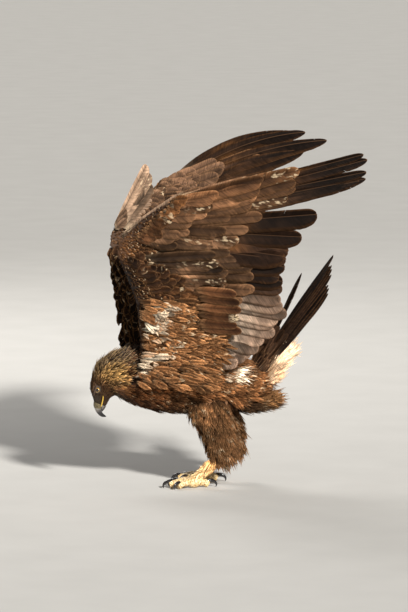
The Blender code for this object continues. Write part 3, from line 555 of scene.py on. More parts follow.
def feather_finish(name, barb, edge, edge_share, fleck, shaft, root=0.55, gloss=0.55, middle=0.86,
                   ticks=True, speck=1.0, tip=(0.74, 0.90)):
    """Vane with barbs of a pitch, a dark middle, a paler worn edge, and a share of pale tips."""
    graph = Finish(name, gloss, Specular_IOR_Level=0.06)
    plus, times, ramp = graph.plus, graph.times, graph.ramp
    lay = graph.add("ShaderNodeSeparateXYZ", i0=graph.attribute("lay", 1)).node.outputs
    reach, tone = graph.attribute("reach", 2), graph.attribute("tone", 2)
    across = graph.math("ABSOLUTE", lay[0])
    slanted = graph.math("SUBTRACT", lay[1], times(across, 0.8))
    wobble = graph.noise(graph.vector(lay[0], lay[1], tone), 90.0)
    rank = plus(times(slanted, 1.0 / barb), times(wobble, 3.0))
    barbs = graph.math("ABSOLUTE", graph.math("SINE", times(rank, math.pi)))
    offset = times(tone, 40.0)
    streaks = graph.noise(graph.vector(times(slanted, 420.0), times(lay[0], 40.0), offset), 1.0, 3.0)
    streaks = ramp(streaks, (0.30, 0.0), (0.70, 1.0))
    patches = graph.noise(graph.vector(times(lay[0], 60.0), times(lay[1], 26.0), offset), 1.0, 2.0)
    # each feather darkens towards its root by the ramp on reach: partly its dark base, partly painted shade under the
    # feathers that lie over it
    light = times(plus(0.44, times(tone, 1.45)), plus(0.45, times(streaks, 0.90)), plus(0.30, times(patches, 1.40)),
                  ramp(lay[2], (0.0, 0.50), (0.45, 0.74), (0.85, 1.0)),
                  ramp(reach, (0.05, root), (0.55, middle), (0.95, 1.0)), plus(1.0, times(barbs, 0.22)))
    grey = graph.add("ShaderNodeCombineColor", i0=light, i1=light, i2=light)
    colour = graph.mix(1.0, graph.attribute("tint", 0), grey, "MULTIPLY")
    worn = times(ramp(lay[2], (0.0, 0.0), (0.66, 0.04), (0.88, 0.55), (1.0, 1.0)), edge_share)
    worn = graph.math("MULTIPLY", worn, plus(0.25, times(streaks, 1.1)), clamp=True)
    worn = times(worn, ramp(reach, (0.25, 0.2), (0.75, 1.0)))
    fine = speck if ticks else 0.42
    specks = graph.noise(graph.vector(times(lay[0], 300.0 * fine), times(slanted, 170.0 * fine), offset), 1.0, 2.0)
    chosen = graph.math("GREATER_THAN", graph.math("FRACT", times(tone, 7.0)), 1.0 - fleck)
    if ticks:
        pale = times(chosen, ramp(reach, (tip[0], 0.0), (tip[1], 0.8)), ramp(specks, (0.42, 0.0), (0.54, 1.0)))
    else:
        pale = times(chosen, ramp(reach, (0.40, 0.0), (0.80, 0.6)), ramp(specks, (0.54, 0.0), (0.64, 1.0)))
    colour = graph.mix(pale, graph.mix(worn, colour, edge), TICK_COLOUR)
    ridge = ramp(times(across, 400.0), (0.0, 1.0), (0.25, 0.7), (0.5, 0.0))
    colour = graph.mix(times(ridge, 0.5), colour, shaft)
    return graph.done(colour, graph.bump(plus(barbs, times(streaks, 1.6)), 0.0005, 0.8))


FLIGHT = feather_finish("flight_vane", 0.0012, shade(150, 104, 66), 0.25, 0.0, shade(104, 76, 54), 0.9)
COVERT = feather_finish("covert_vane", 0.0010, shade(190, 142, 98), 0.26, 0.13, shade(40, 26, 17), 0.62,
                        ticks=False)
LINING = feather_finish("lining_feather", 0.0010, shade(216, 160, 104), 0.50, 0.30, shade(40, 26, 17), 0.50)
PLUME = feather_finish("body_feather", 0.0010, shade(222, 170, 120), 0.40, 0.16, shade(44, 28, 18), 0.50,
                       0.65, 0.80)
HACKLE = feather_finish("hackle_feather", 0.0008, shade(252, 214, 152), 0.80, 0.05, shade(60, 36, 20), 0.05,
                        0.5, 0.24)
TROUSER = feather_finish("trouser_feather", 0.0010, shade(236, 186, 132), 0.62, 0.15, shade(34, 21, 13), 0.20,
                         0.65, 0.55, speck=0.5, tip=(0.62, 0.78))
DOWN = feather_finish("soft_feather", 0.0009, shade(255, 240, 210), 0.6, 0.20, shade(190, 130, 74), 0.75,
                      0.7, 0.9)
FACE = feather_finish("face_feather", 0.0006, shade(132, 96, 64), 0.35, 0.02, shade(30, 21, 15), 0.5, 0.6)
print("feather finishes:", [m.name for m in (FLIGHT, COVERT, LINING, PLUME, HACKLE, TROUSER, DOWN, FACE)])

# %% [markdown]
# ## The skin
# Under its feathers a bird is one continuous form. The trunk, head, thighs, shanks and the flat
# fleshy part of each wing are each a row of rings, a coat's depth inside the solids. A voxel
# remesh melts them into one closed skin without seams, which is quicker and cleaner than
# joining them by hand, and it leaves even faces for the feathers to grow from.

# %% Rings of the trunk and head
COAT_DEPTH = [0.0012, 0.0012, 0.0014, 0.0016, 0.0020, 0.0026, 0.0040, 0.0050, 0.0055, 0.0055, 0.0050,
              0.0045, 0.0040, 0.0040]


def body_rings(places, around):
    """Rings of head, neck and trunk, inside the outline by the coat's depth."""
    rows = smooth_rows(BODY, places)
    depth = np.interp(places, range(len(COAT_DEPTH)), COAT_DEPTH)[:, None, None]
    top = np.stack([rows[:, 0], 0 * rows[:, 0], rows[:, 1]], axis=1)[:, None, :]
    low = np.stack([rows[:, 2], 0 * rows[:, 0], rows[:, 3]], axis=1)[:, None, :]
    half_width = rows[:, 4][:, None, None]
    rise = (top - low) / 2
    rise = rise - unit(rise) * depth
    turn = np.linspace(0, 2 * math.pi, around, endpoint=False)[None, :, None]
    cos, sin = np.cos(turn), np.sin(turn)
    reach = (np.abs(cos) ** BODY_ROUNDNESS + np.abs(sin) ** BODY_ROUNDNESS) ** (-1 / BODY_ROUNDNESS)
    out = np.array([0.0, 1.0, 0.0])
    return (top + low) / 2 + rise * cos * reach + out * (half_width - depth) * sin * reach


def head_point(forward, up, out=0.0):
    """A place on the head from between the eyes: forward, up to the crown, and sideways."""
    ahead = np.array([-math.cos(HEAD_PITCH), 0.0, -math.sin(HEAD_PITCH)])
    crown = np.array([-math.sin(HEAD_PITCH), 0.0, math.cos(HEAD_PITCH)])
    side = np.array([0.0, 1.0, 0.0])
    return (EYE_MIDDLE + ahead * np.asarray(forward)[..., None] + crown * np.asarray(up)[..., None]
            + side * np.asarray(out)[..., None])


HEAD_AHEAD = head_point(1.0, 0.0) - EYE_MIDDLE
HEAD_CROWN = head_point(0.0, 1.0) - EYE_MIDDLE
HEAD_OUT = np.array([0.0, 1.0, 0.0])
BODY_PLACES = np.linspace(0.0, BODY_END, 105)
trunk = body_rings(BODY_PLACES, 64)
print("trunk rings:", trunk.shape)

# %% Rings of the wings, legs and tail
def wing_axes(side):
    """Shoulder, and the wing's directions: back, up along it, and out of its lower side."""
    back = np.array([math.cos(WING_SPLAY), side * math.sin(WING_SPLAY), 0.0])
    rise = np.array([-math.sin(WING_SPLAY) * math.sin(WING_LEAN),
                     side * math.cos(WING_SPLAY) * math.sin(WING_LEAN), math.cos(WING_LEAN)])
    out = np.cross(back, rise) * -side
    shoulder = np.array([SHOULDER[0], side * SHOULDER[1], SHOULDER[2]])
    return shoulder, back, rise, out


def wing_point(side, a, b, c=0.0):
    """Places on the wing; it bows out beyond its wrist."""
    shoulder, back, rise, out = wing_axes(side)
    a, b, c = np.broadcast_arrays(np.asarray(a, float), np.asarray(b, float), np.asarray(c, float))
    reach = np.maximum(0.0, (a - WRIST[0]) * math.cos(BOW_ANGLE) + (b - WRIST[1]) * math.sin(BOW_ANGLE))
    level = c + BOW[side] * reach ** 2
    return shoulder + back * a[..., None] + rise * b[..., None] + out * level[..., None]


def wing_share(side, points):
    """The wing's own a, b and level of places in the bird's coordinates."""
    shoulder, back, rise, out = wing_axes(side)
    away = points - shoulder
    return away @ back, away @ rise, away @ out


# share of the chord and of the half thickness, from the front edge to the rear one
PLATE_SHAPE = [(0.0, 0.0), (0.03, 0.40), (0.09, 0.75), (0.2, 1.0), (0.45, 0.85), (0.75, 0.55), (1.0, 0.33)]
PLATE_DEPTH = 0.0030
PLATE_LEAST = 0.0012


def plate_rings(side, rows, count):
    """Rings of the flat, fleshy part of a wing."""
    rings = []
    loop = [(share, -height) for share, height in PLATE_SHAPE] + PLATE_SHAPE[:0:-1]
    for front_a, front_b, rear_a, rear_b, half in smooth_rows(rows, np.linspace(0, len(rows) - 1, count)):
        front = np.array([front_a, front_b])
        chord = np.array([rear_a, rear_b]) - front
        reach = np.linalg.norm(chord)
        ring = []
        for share, height in loop:
            level = math.copysign(max(abs(height * half) - PLATE_DEPTH, PLATE_LEAST), height) if height else 0.0
            inner = PLATE_DEPTH / reach + share * (1 - 1.6 * PLATE_DEPTH / reach)
            ring.append((*(front + chord * inner), level))
        rings.append(wing_point(side, *np.array(ring).T))
    return np.array(rings)


def leg_shift(side):
    """How far back a leg stands from the left one."""
    return FOOT_X[side] - FOOT_X[LEFT]


def thigh_point(side, place, turn, scale):
    """Places on the thigh's outline, or inside it."""
    height, front, rear, half, out = smooth_rows(THIGH, place).T
    return np.stack([(front + rear) / 2 + leg_shift(side) + (rear - front) / 2 * scale * np.cos(turn),
                     side * out + half * scale * np.sin(turn), height + 0 * turn], axis=-1)


def thigh_rings(side):
    """The thigh's flesh, well inside the trousers at its lower end."""
    return np.array([thigh_point(side, place, around_circle(40), 0.90 - 0.075 * place)
                     for place in np.linspace(0.0, 4.9, 36)])


def shank_path(side, count):
    """The line of the feathered shank from the ankle to the foot."""
    foot = np.array([FOOT_X[side] + 0.004, side * LEG_OUT, 0.020])
    ankle = np.array([ANKLE[0] + leg_shift(side) + 0.004, side * (LEG_OUT + 0.004), ANKLE[1] + 0.008])
    return ankle + (foot - ankle) * np.linspace(0, 1, count)[:, None]


def tail_axes():
    """The tail's directions: along it, across it, and out of its upper side."""
    along = np.array([math.cos(TAIL_RISE), 0.0, math.sin(TAIL_RISE)])
    upper = np.array([-math.sin(TAIL_RISE), 0.0, math.cos(TAIL_RISE)])
    across = np.array([0.0, 1.0, 0.0]) * math.cos(TAIL_ROLL) + upper * math.sin(TAIL_ROLL)
    return along, across, np.cross(along, across)


TAIL_ALONG, TAIL_ACROSS, TAIL_UPPER = tail_axes()
print("tail rises", round(math.degrees(TAIL_RISE)), "degrees")

# %% Gather the forms, with the way the feathers lie on each
forms = []


def add_form(label, rings, flow=None, place=None):
    """Keep a row of rings with its name, the feathers' direction and its own coordinates."""
    flow = unit(np.gradient(rings, axis=0)) if flow is None else np.broadcast_to(flow, rings.shape)
    place = np.linspace(0, 1, len(rings)) if place is None else place
    forms.append((label, rings, flow, place))


def core_rings(path, radii, end):
    """Rings of a soft bundle's core, up to a place on its path."""
    rows = smooth_rows(np.column_stack([np.array(path, float), radii]), np.linspace(0, end, 18))
    return tube_rings(rows[:, :3], rows[:, 3] * 0.72, 28)


add_form("body", trunk, place=BODY_PLACES)
for name, side in SIDES.items():
    tilt = HEAD_AHEAD * 0.94 - HEAD_CROWN * 0.30 - HEAD_OUT * side * 0.18
    brow_axes = (tilt * 0.0170, HEAD_OUT * side * 0.0060, HEAD_CROWN * 0.0042)
    add_form("body", ball_rings(head_point(0.002, 0.0090, side * 0.0235), brow_axes, 18, 20), -tilt, np.full(18, 1.2))
    back_way, rise_way = wing_axes(side)[1:3]
    for rows, count in ((ARM_PLATE, 40), (HAND_PLATE, 22)):
        rings = plate_rings(side, rows, count)
        lean = np.interp(wing_share(side, rings)[1], [-0.05, 0.10, 0.25, 0.40], [-0.10, -0.02, 0.08, 0.38])
        add_form("wing_" + name, rings, back_way + rise_way * lean[..., None])
    add_form("thigh_" + name, thigh_rings(side))
    radii = smooth_rows(np.array(TARSUS_RADII)[:, None], np.linspace(0, 4, 24))[:, 0] - 0.0022
    add_form("shank_" + name, tube_rings(shank_path(side, 24), radii, 24))
tail_axes_sized = (-TAIL_ALONG * 0.052, TAIL_ACROSS * 0.028, TAIL_UPPER * 0.0135)
add_form("tail", ball_rings(TAIL_ROOT + TAIL_ALONG * 0.028, tail_axes_sized, 24, 28), TAIL_ALONG)
add_form("undertail", core_rings(UNDERTAIL_PATH, UNDERTAIL_RADII, 2.6))
add_form("vent", core_rings(VENT_PATH, VENT_RADII, 2.8))
LABELS = sorted({form[0] for form in forms})
print("forms:", [form[0] for form in forms])

# %% Melt the forms into one skin
SKIN_VOXEL = 0.0030
SMOOTH_ROUNDS = 5
raw = in_scene("raw", ring_mesh("raw", [form[1] for form in forms]))
melt = raw.modifiers.new("melt", "REMESH")
melt.mode = "VOXEL"
melt.voxel_size = SKIN_VOXEL
calm = raw.modifiers.new("calm", "SMOOTH")
calm.factor = 0.5
calm.iterations = SMOOTH_ROUNDS
skin_mesh = plain_mesh(raw)
bpy.data.objects.remove(raw)
skin_mesh.name = "skin"
skin = in_scene("skin", skin_mesh)
print("skin has", len(skin_mesh.vertices), "points and", len(skin_mesh.polygons), "faces")

# %% [markdown]
# ## What the skin knows
# Each point of the skin looks up the nearest form that it came from. From it the point takes the
# way its feathers lie, its part of the body, and its place along that part. The colour of the
# coat is worked out from these, so that skin and feathers always carry the same markings.

# %% Look up the forms from the skin
NEAREST = 5


def look_up(points):
    """Label, flow and place along its form for every skin point."""
    sizes = [form[1].shape[1] for form in forms]
    places = np.concatenate([form[1].reshape(-1, 3) for form in forms])
    flows = np.concatenate([form[2].reshape(-1, 3) for form in forms])
    shares = np.concatenate([np.repeat(form[3], size) for form, size in zip(forms, sizes)])
    labels = np.concatenate([np.full(len(form[1]) * size, LABELS.index(form[0])) for form, size in zip(forms, sizes)])
    tree = KDTree(len(places))
    for index, place in enumerate(places):
        tree.insert(place, index)
    tree.balance()
    found = np.array([[hit[1] for hit in tree.find_n(point, NEAREST)] for point in points])
    return labels[found[:, 0]], flows[found].mean(axis=1), shares[found].mean(axis=1)


skin_points = read_numbers(skin_mesh.vertices, "co", 3) + ORIGIN
skin_normals = read_numbers(skin_mesh.vertices, "normal", 3)
skin_label, skin_flow, skin_place = look_up(skin_points)
print({label: int((skin_label == index).sum()) for index, label in enumerate(LABELS)})

# %% Smooth the lie of the feathers over the joins
def on(*labels):
    """Skin points of the named parts."""
    return np.isin(skin_label, [LABELS.index(label) for label in labels])


def relax(values, rounds):
    """Even out values over the skin."""
    first, second = read_numbers(skin_mesh.edges, "vertices", 2, int).T
    degree = np.bincount(np.concatenate([first, second]), minlength=len(values)).astype(float)
    for _ in range(rounds):
        total = np.zeros_like(values)
        np.add.at(total, first, values[second])
        np.add.at(total, second, values[first])
        values = values * 0.4 + total / degree[:, None] * 0.6
    return values


def turn_down_over_thighs(flow):
    """Feathers of the flank that lie over the top of a thigh point down it."""
    for side in (LEFT, RIGHT):
        across = np.abs(skin_points[:, 0] - (-0.045 + leg_shift(side)))
        share = ((1 - soft_step(across, 0.035, 0.070)) * (1 - soft_step(skin_points[:, 2], 0.190, 0.235))
                 * (skin_points[:, 1] * side > 0.012) * on("body"))
        flow = blend(flow, np.array([0.30, 0.0, -0.95]), share)
    return flow


skin_flow = relax(turn_down_over_thighs(skin_flow), 10)
skin_flow = unit(skin_flow - skin_normals * (skin_flow * skin_normals).sum(axis=1)[:, None])
print("flow smoothed")

# %% Colours of the coat, part by part
WARM = shade(154, 101, 61)
# dark brown of belly and tail; on the faces that turn down it stands partly for painted shade
DARK = shade(38, 23, 14)
# dark umber, laid as painted shade on the wing's leading edge and under the vent
UMBER = shade(40, 26, 17)
RUFOUS = shade(136, 76, 38)
CREAM = shade(242, 224, 196) * 1.9
GOLD = shade(240, 186, 112) * 1.5
SLATE = shade(72, 64, 64)
CROWN = shade(104, 74, 48)
# x, z and reach of the cream spots along the flank
FLANK_SPOTS = [(-0.222, 0.272, 0.018), (-0.218, 0.288, 0.020), (-0.209, 0.298, 0.022),
               (-0.186, 0.308, 0.022), (-0.164, 0.326, 0.022), (-0.042, 0.264, 0.010),
               (-0.014, 0.266, 0.018), (-0.004, 0.274, 0.018)]


def blob(points, centre, reach):
    """1 at a place seen from the side, fading to 0 at a distance."""
    away = np.linalg.norm(points[:, [0, 2]] - np.asarray(centre), axis=-1)
    return 1 - soft_step(away, reach * 0.3, reach)


def body_tint(points, normals, place):
    """Crown, golden hackles, a dark belly darkened further as painted shade, warm flanks with pale spots, and a
    painted shadow in the crease of the neck.
    """
    x, z = points[:, 0], points[:, 2]
    down = -normals[:, 2]
    # faces that turn down go dark brown: the belly's own dark colour, and painted shade beneath
    colour = blend(WARM, DARK, soft_step(down, 0.15, 0.8) * 0.9)
    colour = blend(colour, shade(116, 82, 56), soft_step(-down, 0.55, 0.92) * 0.6)
    breast = soft_step(place, 4.2, 5.0) * (1 - soft_step(place, 6.6, 8.0)) * soft_step(down, -0.5, 0.3)
    colour = blend(colour, RUFOUS, breast * 0.55)
    # painted shade on the lower side of the breast
    colour = blend(colour, DARK, breast * soft_step(down, 0.3, 0.9) * 0.5)
    neck = soft_step(place, 1.9, 2.7) * (1 - soft_step(place, 4.1, 4.9)) * (1 - soft_step(down, 0.0, 0.55))
    colour = blend(colour, GOLD, neck * (1 - 0.92 * soft_step(-z, -0.268, -0.230)))
    ridge = soft_step(normals[:, 2] * 0.62 - normals[:, 0] * 0.55, 0.28, 0.58)
    colour = blend(colour, SLATE, soft_step(place, 1.9, 2.8) * (1 - soft_step(place, 5.0, 6.0)) * ridge * 0.9)
    head = 1 - soft_step(place, 1.7, 2.6)
    colour = blend(colour, CROWN, head)
    colour = blend(colour, shade(70, 52, 38), (1 - soft_step(place, 0.3, 1.3)) * 0.7)
    throat = head * soft_step(-(points - EYE_MIDDLE) @ HEAD_CROWN, 0.012, 0.030)
    colour = blend(colour, shade(92, 64, 38), throat * 0.8)
    colour = blend(colour, shade(112, 98, 84), blob(points, head_point(0.024, -0.006)[[0, 2]], 0.016) * 0.7)
    for *centre, reach in FLANK_SPOTS:
        colour = blend(colour, CREAM * 0.8, blob(points, centre, reach) * 0.85)
    # painted shadow in the crease between the neck and the shoulder
    painted_neck_shadow = (1 - soft_step(np.abs(x + 0.236), 0.004, 0.013)) * soft_step(z, 0.215, 0.245)
    colour = blend(colour, shade(26, 17, 13), painted_neck_shadow)
    streaks = np.sin(x * 47 + z * 90) * np.sin(x * 75 - z * 150 + 1.3)
    return colour * (1 + 0.42 * streaks * soft_step(place, 4.5, 6.5))[:, None]


def wing_tint(points, normals, side):
    """Dark lining, warm near the body and along the leading edge at the wrist, with painted shade along the leading
    edge below the wrist; the upper side is greyer.
    """
    a, b = wing_share(side, points)[:2]
    under = soft_step(normals @ wing_axes(side)[3], -0.2, 0.2)
    wrist = soft_step(b, 0.20, 0.26)
    lining = blend(shade(76, 50, 32), WARM, 1 - soft_step(b, 0.04, 0.16))
    lining = blend(lining, shade(150, 100, 60), (1 - soft_step(a, -0.045, 0.0)) * wrist * 0.6)
    # painted shade along the leading edge below the wrist, which turns away from the light
    lining = blend(lining, UMBER, (1 - soft_step(a, -0.040, 0.012)) * (1 - wrist) * 0.9)
    upper = blend(shade(100, 72, 52), shade(138, 106, 82), soft_step(a, 0.02, 0.12) * 0.7)
    return blend(upper, lining, under)


def leg_tint(points, normals, place):
    """Brown trousers, warmer in front, mottled, and dark down their front edge."""
    x, z = points[:, 0], points[:, 2]
    colour = blend(shade(172, 120, 78), shade(178, 126, 84), soft_step(place, 0.3, 0.9))
    colour = blend(colour, shade(214, 152, 94), soft_step(-normals[:, 0], 0.2, 0.9) * 0.6)
    mottle = 1 + 0.50 * np.sin(x * 210 + z * 60) * np.sin(z * 95 + x * 120)
    front = 1 - 0.45 * soft_step(place, 0.30, 0.55) * soft_step(-normals[:, 0], -0.3, 0.5)
    return colour * mottle[:, None] * front[:, None]


def plain_tint(first, second, share, strength=1.0):
    """One colour that turns into another."""
    return blend(shade(*first), second, share) * strength


# how each part is coloured, from its points, normals, places along it and side
TINTS = {
    "body": lambda points, normals, place, side: body_tint(points, normals, place),
    "wing": lambda points, normals, place, side: wing_tint(points, normals, side),
    "thigh": lambda points, normals, place, side: leg_tint(points, normals, place),
    "shank": lambda points, normals, place, side:
        plain_tint((246, 184, 112), shade(255, 228, 172), soft_step(place, 0.2, 0.9), 2.1),
    "tail": lambda points, normals, place, side: plain_tint((96, 70, 52), DARK, soft_step(normals[:, 2], 0.0, 0.5)),
    # the undertail's own gold and cream, brightened beyond them as painted light shining through
    "undertail": lambda points, normals, place, side:
        blend(shade(250, 184, 112) * 2.1, CREAM * 1.15, soft_step(place, 0.1, 0.7)),
    # the vent is darker on its lower side as painted shade
    "vent": lambda points, normals, place, side:
        plain_tint((196, 142, 92), UMBER, soft_step(-normals[:, 2], -0.1, 0.5)),
}
skin_tint = np.zeros((len(skin_points), 3))
for label in LABELS:
    part, _, name = label.partition("_")
    mine = on(label)
    skin_tint[mine] = TINTS[part](skin_points[mine], skin_normals[mine], skin_place[mine], SIDES.get(name))
skin_tint = relax(skin_tint, 2)
print("coat colours from", skin_tint.min(axis=0).round(3), "to", skin_tint.max(axis=0).round(3))

# %% [markdown]
# ## The finish of the skin
# Hardly any skin shows between the feathers, but where it does it must read as the soft underlayer
# of the coat, dark with shade. It takes the coat's own colour, darkened as painted shade, with fine
# streaks of relief.
# First the eyes are pressed into it, and it gets the map on which its colours can be kept.

# %% Press the eyes into the skin, write what it knows and paint it
SOCKET_REACH = 0.0095
SOCKET_DEPTH = 0.0075
for side in (LEFT, RIGHT):
    away = skin_points - head_point(0.0, 0.0, side * EYE_OUT)
    flat = np.hypot(away @ HEAD_AHEAD, away @ HEAD_CROWN)
    near = (flat < SOCKET_REACH) & (skin_points[:, 1] * side > 0)
    depth = (1 - soft_step(flat, 0.006, SOCKET_REACH)) * SOCKET_DEPTH
    skin_points[near, 1] -= side * depth[near]
skin_mesh.vertices.foreach_set("co", (skin_points - ORIGIN).ravel())
bpy.context.view_layer.objects.active = skin
skin.select_set(True)
skin_mesh.uv_layers.new(name="OFBake")
bpy.ops.object.mode_set(mode="EDIT")
bpy.ops.mesh.select_all(action="SELECT")
bpy.ops.uv.smart_project(angle_limit=math.radians(66), island_margin=0.001)
bpy.ops.object.mode_set(mode="OBJECT")
skin.select_set(False)
write_attribute(skin_mesh, "flow", skin_flow)
write_attribute(skin_mesh, "tint", skin_tint)
down_layer = Finish("down_layer", 0.85)
down_grain = down_layer.noise(down_layer.spot(), 420.0, 4.0)
# painted shade: the coat's colour darkened where the skin shows between the feathers
down_shadow = down_layer.ramp(down_grain, (0.25, 0.28), (0.75, 0.62))
down_colour = down_layer.mix(1.0, down_layer.attribute("tint", 0), down_shadow, "MULTIPLY")
smooth_and_paint(skin_mesh, down_layer.done(down_colour, down_layer.bump(down_grain, 0.0008)))
keep_piece(skin, "plumage", "torso", "neck", "head", "thigh_left", "thigh_right", "tarsus_left", "tarsus_right",
           "vent", "undertail")
print("skin dressed, with the map", skin_mesh.uv_layers.keys())

# %% [markdown]
# ## Single small feathers
# The body wears thousands of small feathers of a few kinds: rounded ones on breast and back,
# narrow pointed hackles on the neck, tiny ones on the face, and loose tufts on the legs. One
# feather is a thin closed blade with a ridge for its shaft. A few variants of each kind are
# enough, because scale, turn and colour change with every copy.

# %% Build one small feather
# share of the length and of the full width
ROUND = ([0.0, 0.25, 0.62, 0.88, 1.0], [0.25, 0.72, 1.0, 0.80, 0.34])
SHAGGY = ([0.0, 0.25, 0.55, 0.82, 1.0], [0.30, 0.80, 1.0, 0.72, 0.30])
POINTED = ([0.0, 0.25, 0.50, 0.80, 1.0], [0.35, 0.85, 1.0, 0.55, 0.06])
WISP = ([0.0, 0.3, 0.6, 1.0], [0.4, 0.9, 1.0, 0.1])
# its blade: length, width, rows, columns, outline, fray at the tip and cup; the blade's bend, or
# None for a drawn one; its wisps: length, width, turns, spread of their bends and added bend
FEATHER_KINDS = {
    "contour": ((0.038, 0.0110, 7, 7, SHAGGY, 0.34, 0.10), None, (0.043, 0.0024, (-0.16, 0.0, 0.13), 0.03, 0.0)),
    "hackle": ((0.027, 0.0068, 7, 3, POINTED, 0.0, 0.35), None, None),
    "face": ((0.0070, 0.0024, 4, 3, POINTED, 0.0, 0.3), -0.04, None),
    "tuft": ((0.034, 0.0090, 6, 5, SHAGGY, 0.36, 0.15), None,
             (0.039, 0.0026, (-0.22, -0.08, 0.06, 0.20), 0.05, 0.02)),
    "down": (None, 0.0, (0.044, 0.0036, (-0.26, -0.12, 0.0, 0.12, 0.24), 0.05, 0.0)),
    "lesser": ((0.020, 0.0100, 6, 5, ROUND, 0.16, 0.20), None, None),
    "shank": ((0.0110, 0.0034, 4, 3, POINTED, 0.0, 0.3), -0.05, None),
}
VARIANTS = 3


def blade(draw, length, width, rows, columns, outline, fray, cup, bend, turn=0.0, start=0.0):
    """Rings of one thin blade that grows along +Y with its upper side towards +Z."""
    across = np.linspace(-1, 1, columns)
    rings, lay = [], []
    for row, share in enumerate(np.linspace(0, 1, rows)):
        half = width / 2 * np.interp(share, *outline)
        y = np.full(columns, share * length)
        if fray and row >= rows - 2:
            y = y - draw.uniform(0.0, fray * (1.0 if row == rows - 1 else 0.4), columns) * length
        x = across * half
        z = cup * half * (1 - across ** 2) + bend * length * share ** 2 + start
        rings.append(np.stack([x * math.cos(turn) + y * math.sin(turn), y * math.cos(turn) - x * math.sin(turn),
                               z], axis=1))
        lay.append(np.stack([x, y, np.maximum(np.abs(across), share ** 6), share + 0 * x], axis=1))
    return np.array(rings), np.array(lay).reshape(-1, 4)


def blades_of(draw, main, set_bend, loose):
    """The blades of one small feather, each a little different."""
    bend = draw.uniform(-0.05, 0.03)
    if set_bend is not None:
        bend = set_bend
    blades = [blade(draw, *main, bend)] if main else []
    if loose:
        length, width, turns, spread, more = loose
        blades += [blade(draw, length * draw.uniform(0.75, 1.1), width, 5, 3, WISP, 0.0, 0.3,
                         bend + more + draw.uniform(-spread, spread), turn, 0.0004) for turn in turns]
    return blades


PATTERNS = {}
pattern_draw = np.random.default_rng(SEED)
for kind, recipe in FEATHER_KINDS.items():
    PATTERNS[kind] = bpy.data.collections.new("pattern_" + kind)
    for variant in range(VARIANTS):
        rings, lays = zip(*blades_of(pattern_draw, *recipe))
        mesh = ring_mesh(f"pattern_{kind}_{variant}", rings, 0.0)
        write_attribute(mesh, "lay", np.concatenate(lays)[:, :3])
        write_attribute(mesh, "reach", np.concatenate(lays)[:, 3])
        face_outwards(mesh)
        PATTERNS[kind].objects.link(bpy.data.objects.new(mesh.name, mesh))
print({kind: sum(triangles_of(f.data) for f in group.objects) for kind, group in PATTERNS.items()},
      "triangles in three variants")

# %% [markdown]
# ## Laying the coat with Geometry Nodes
# Scattering thousands of feathers by hand would never end, and hair particles don't export as
# solid mesh. A small Geometry Nodes tree does it: spread points over a piece of skin with an
# even spacing, turn each feather so that it lies along the flow, tilt its tip off the skin,
# vary it, and turn the copies into real mesh at the end. The same tree lays every coat.

# %% Build the tree
BAKE_STRETCH = (0.12, 0.075, 0.0)


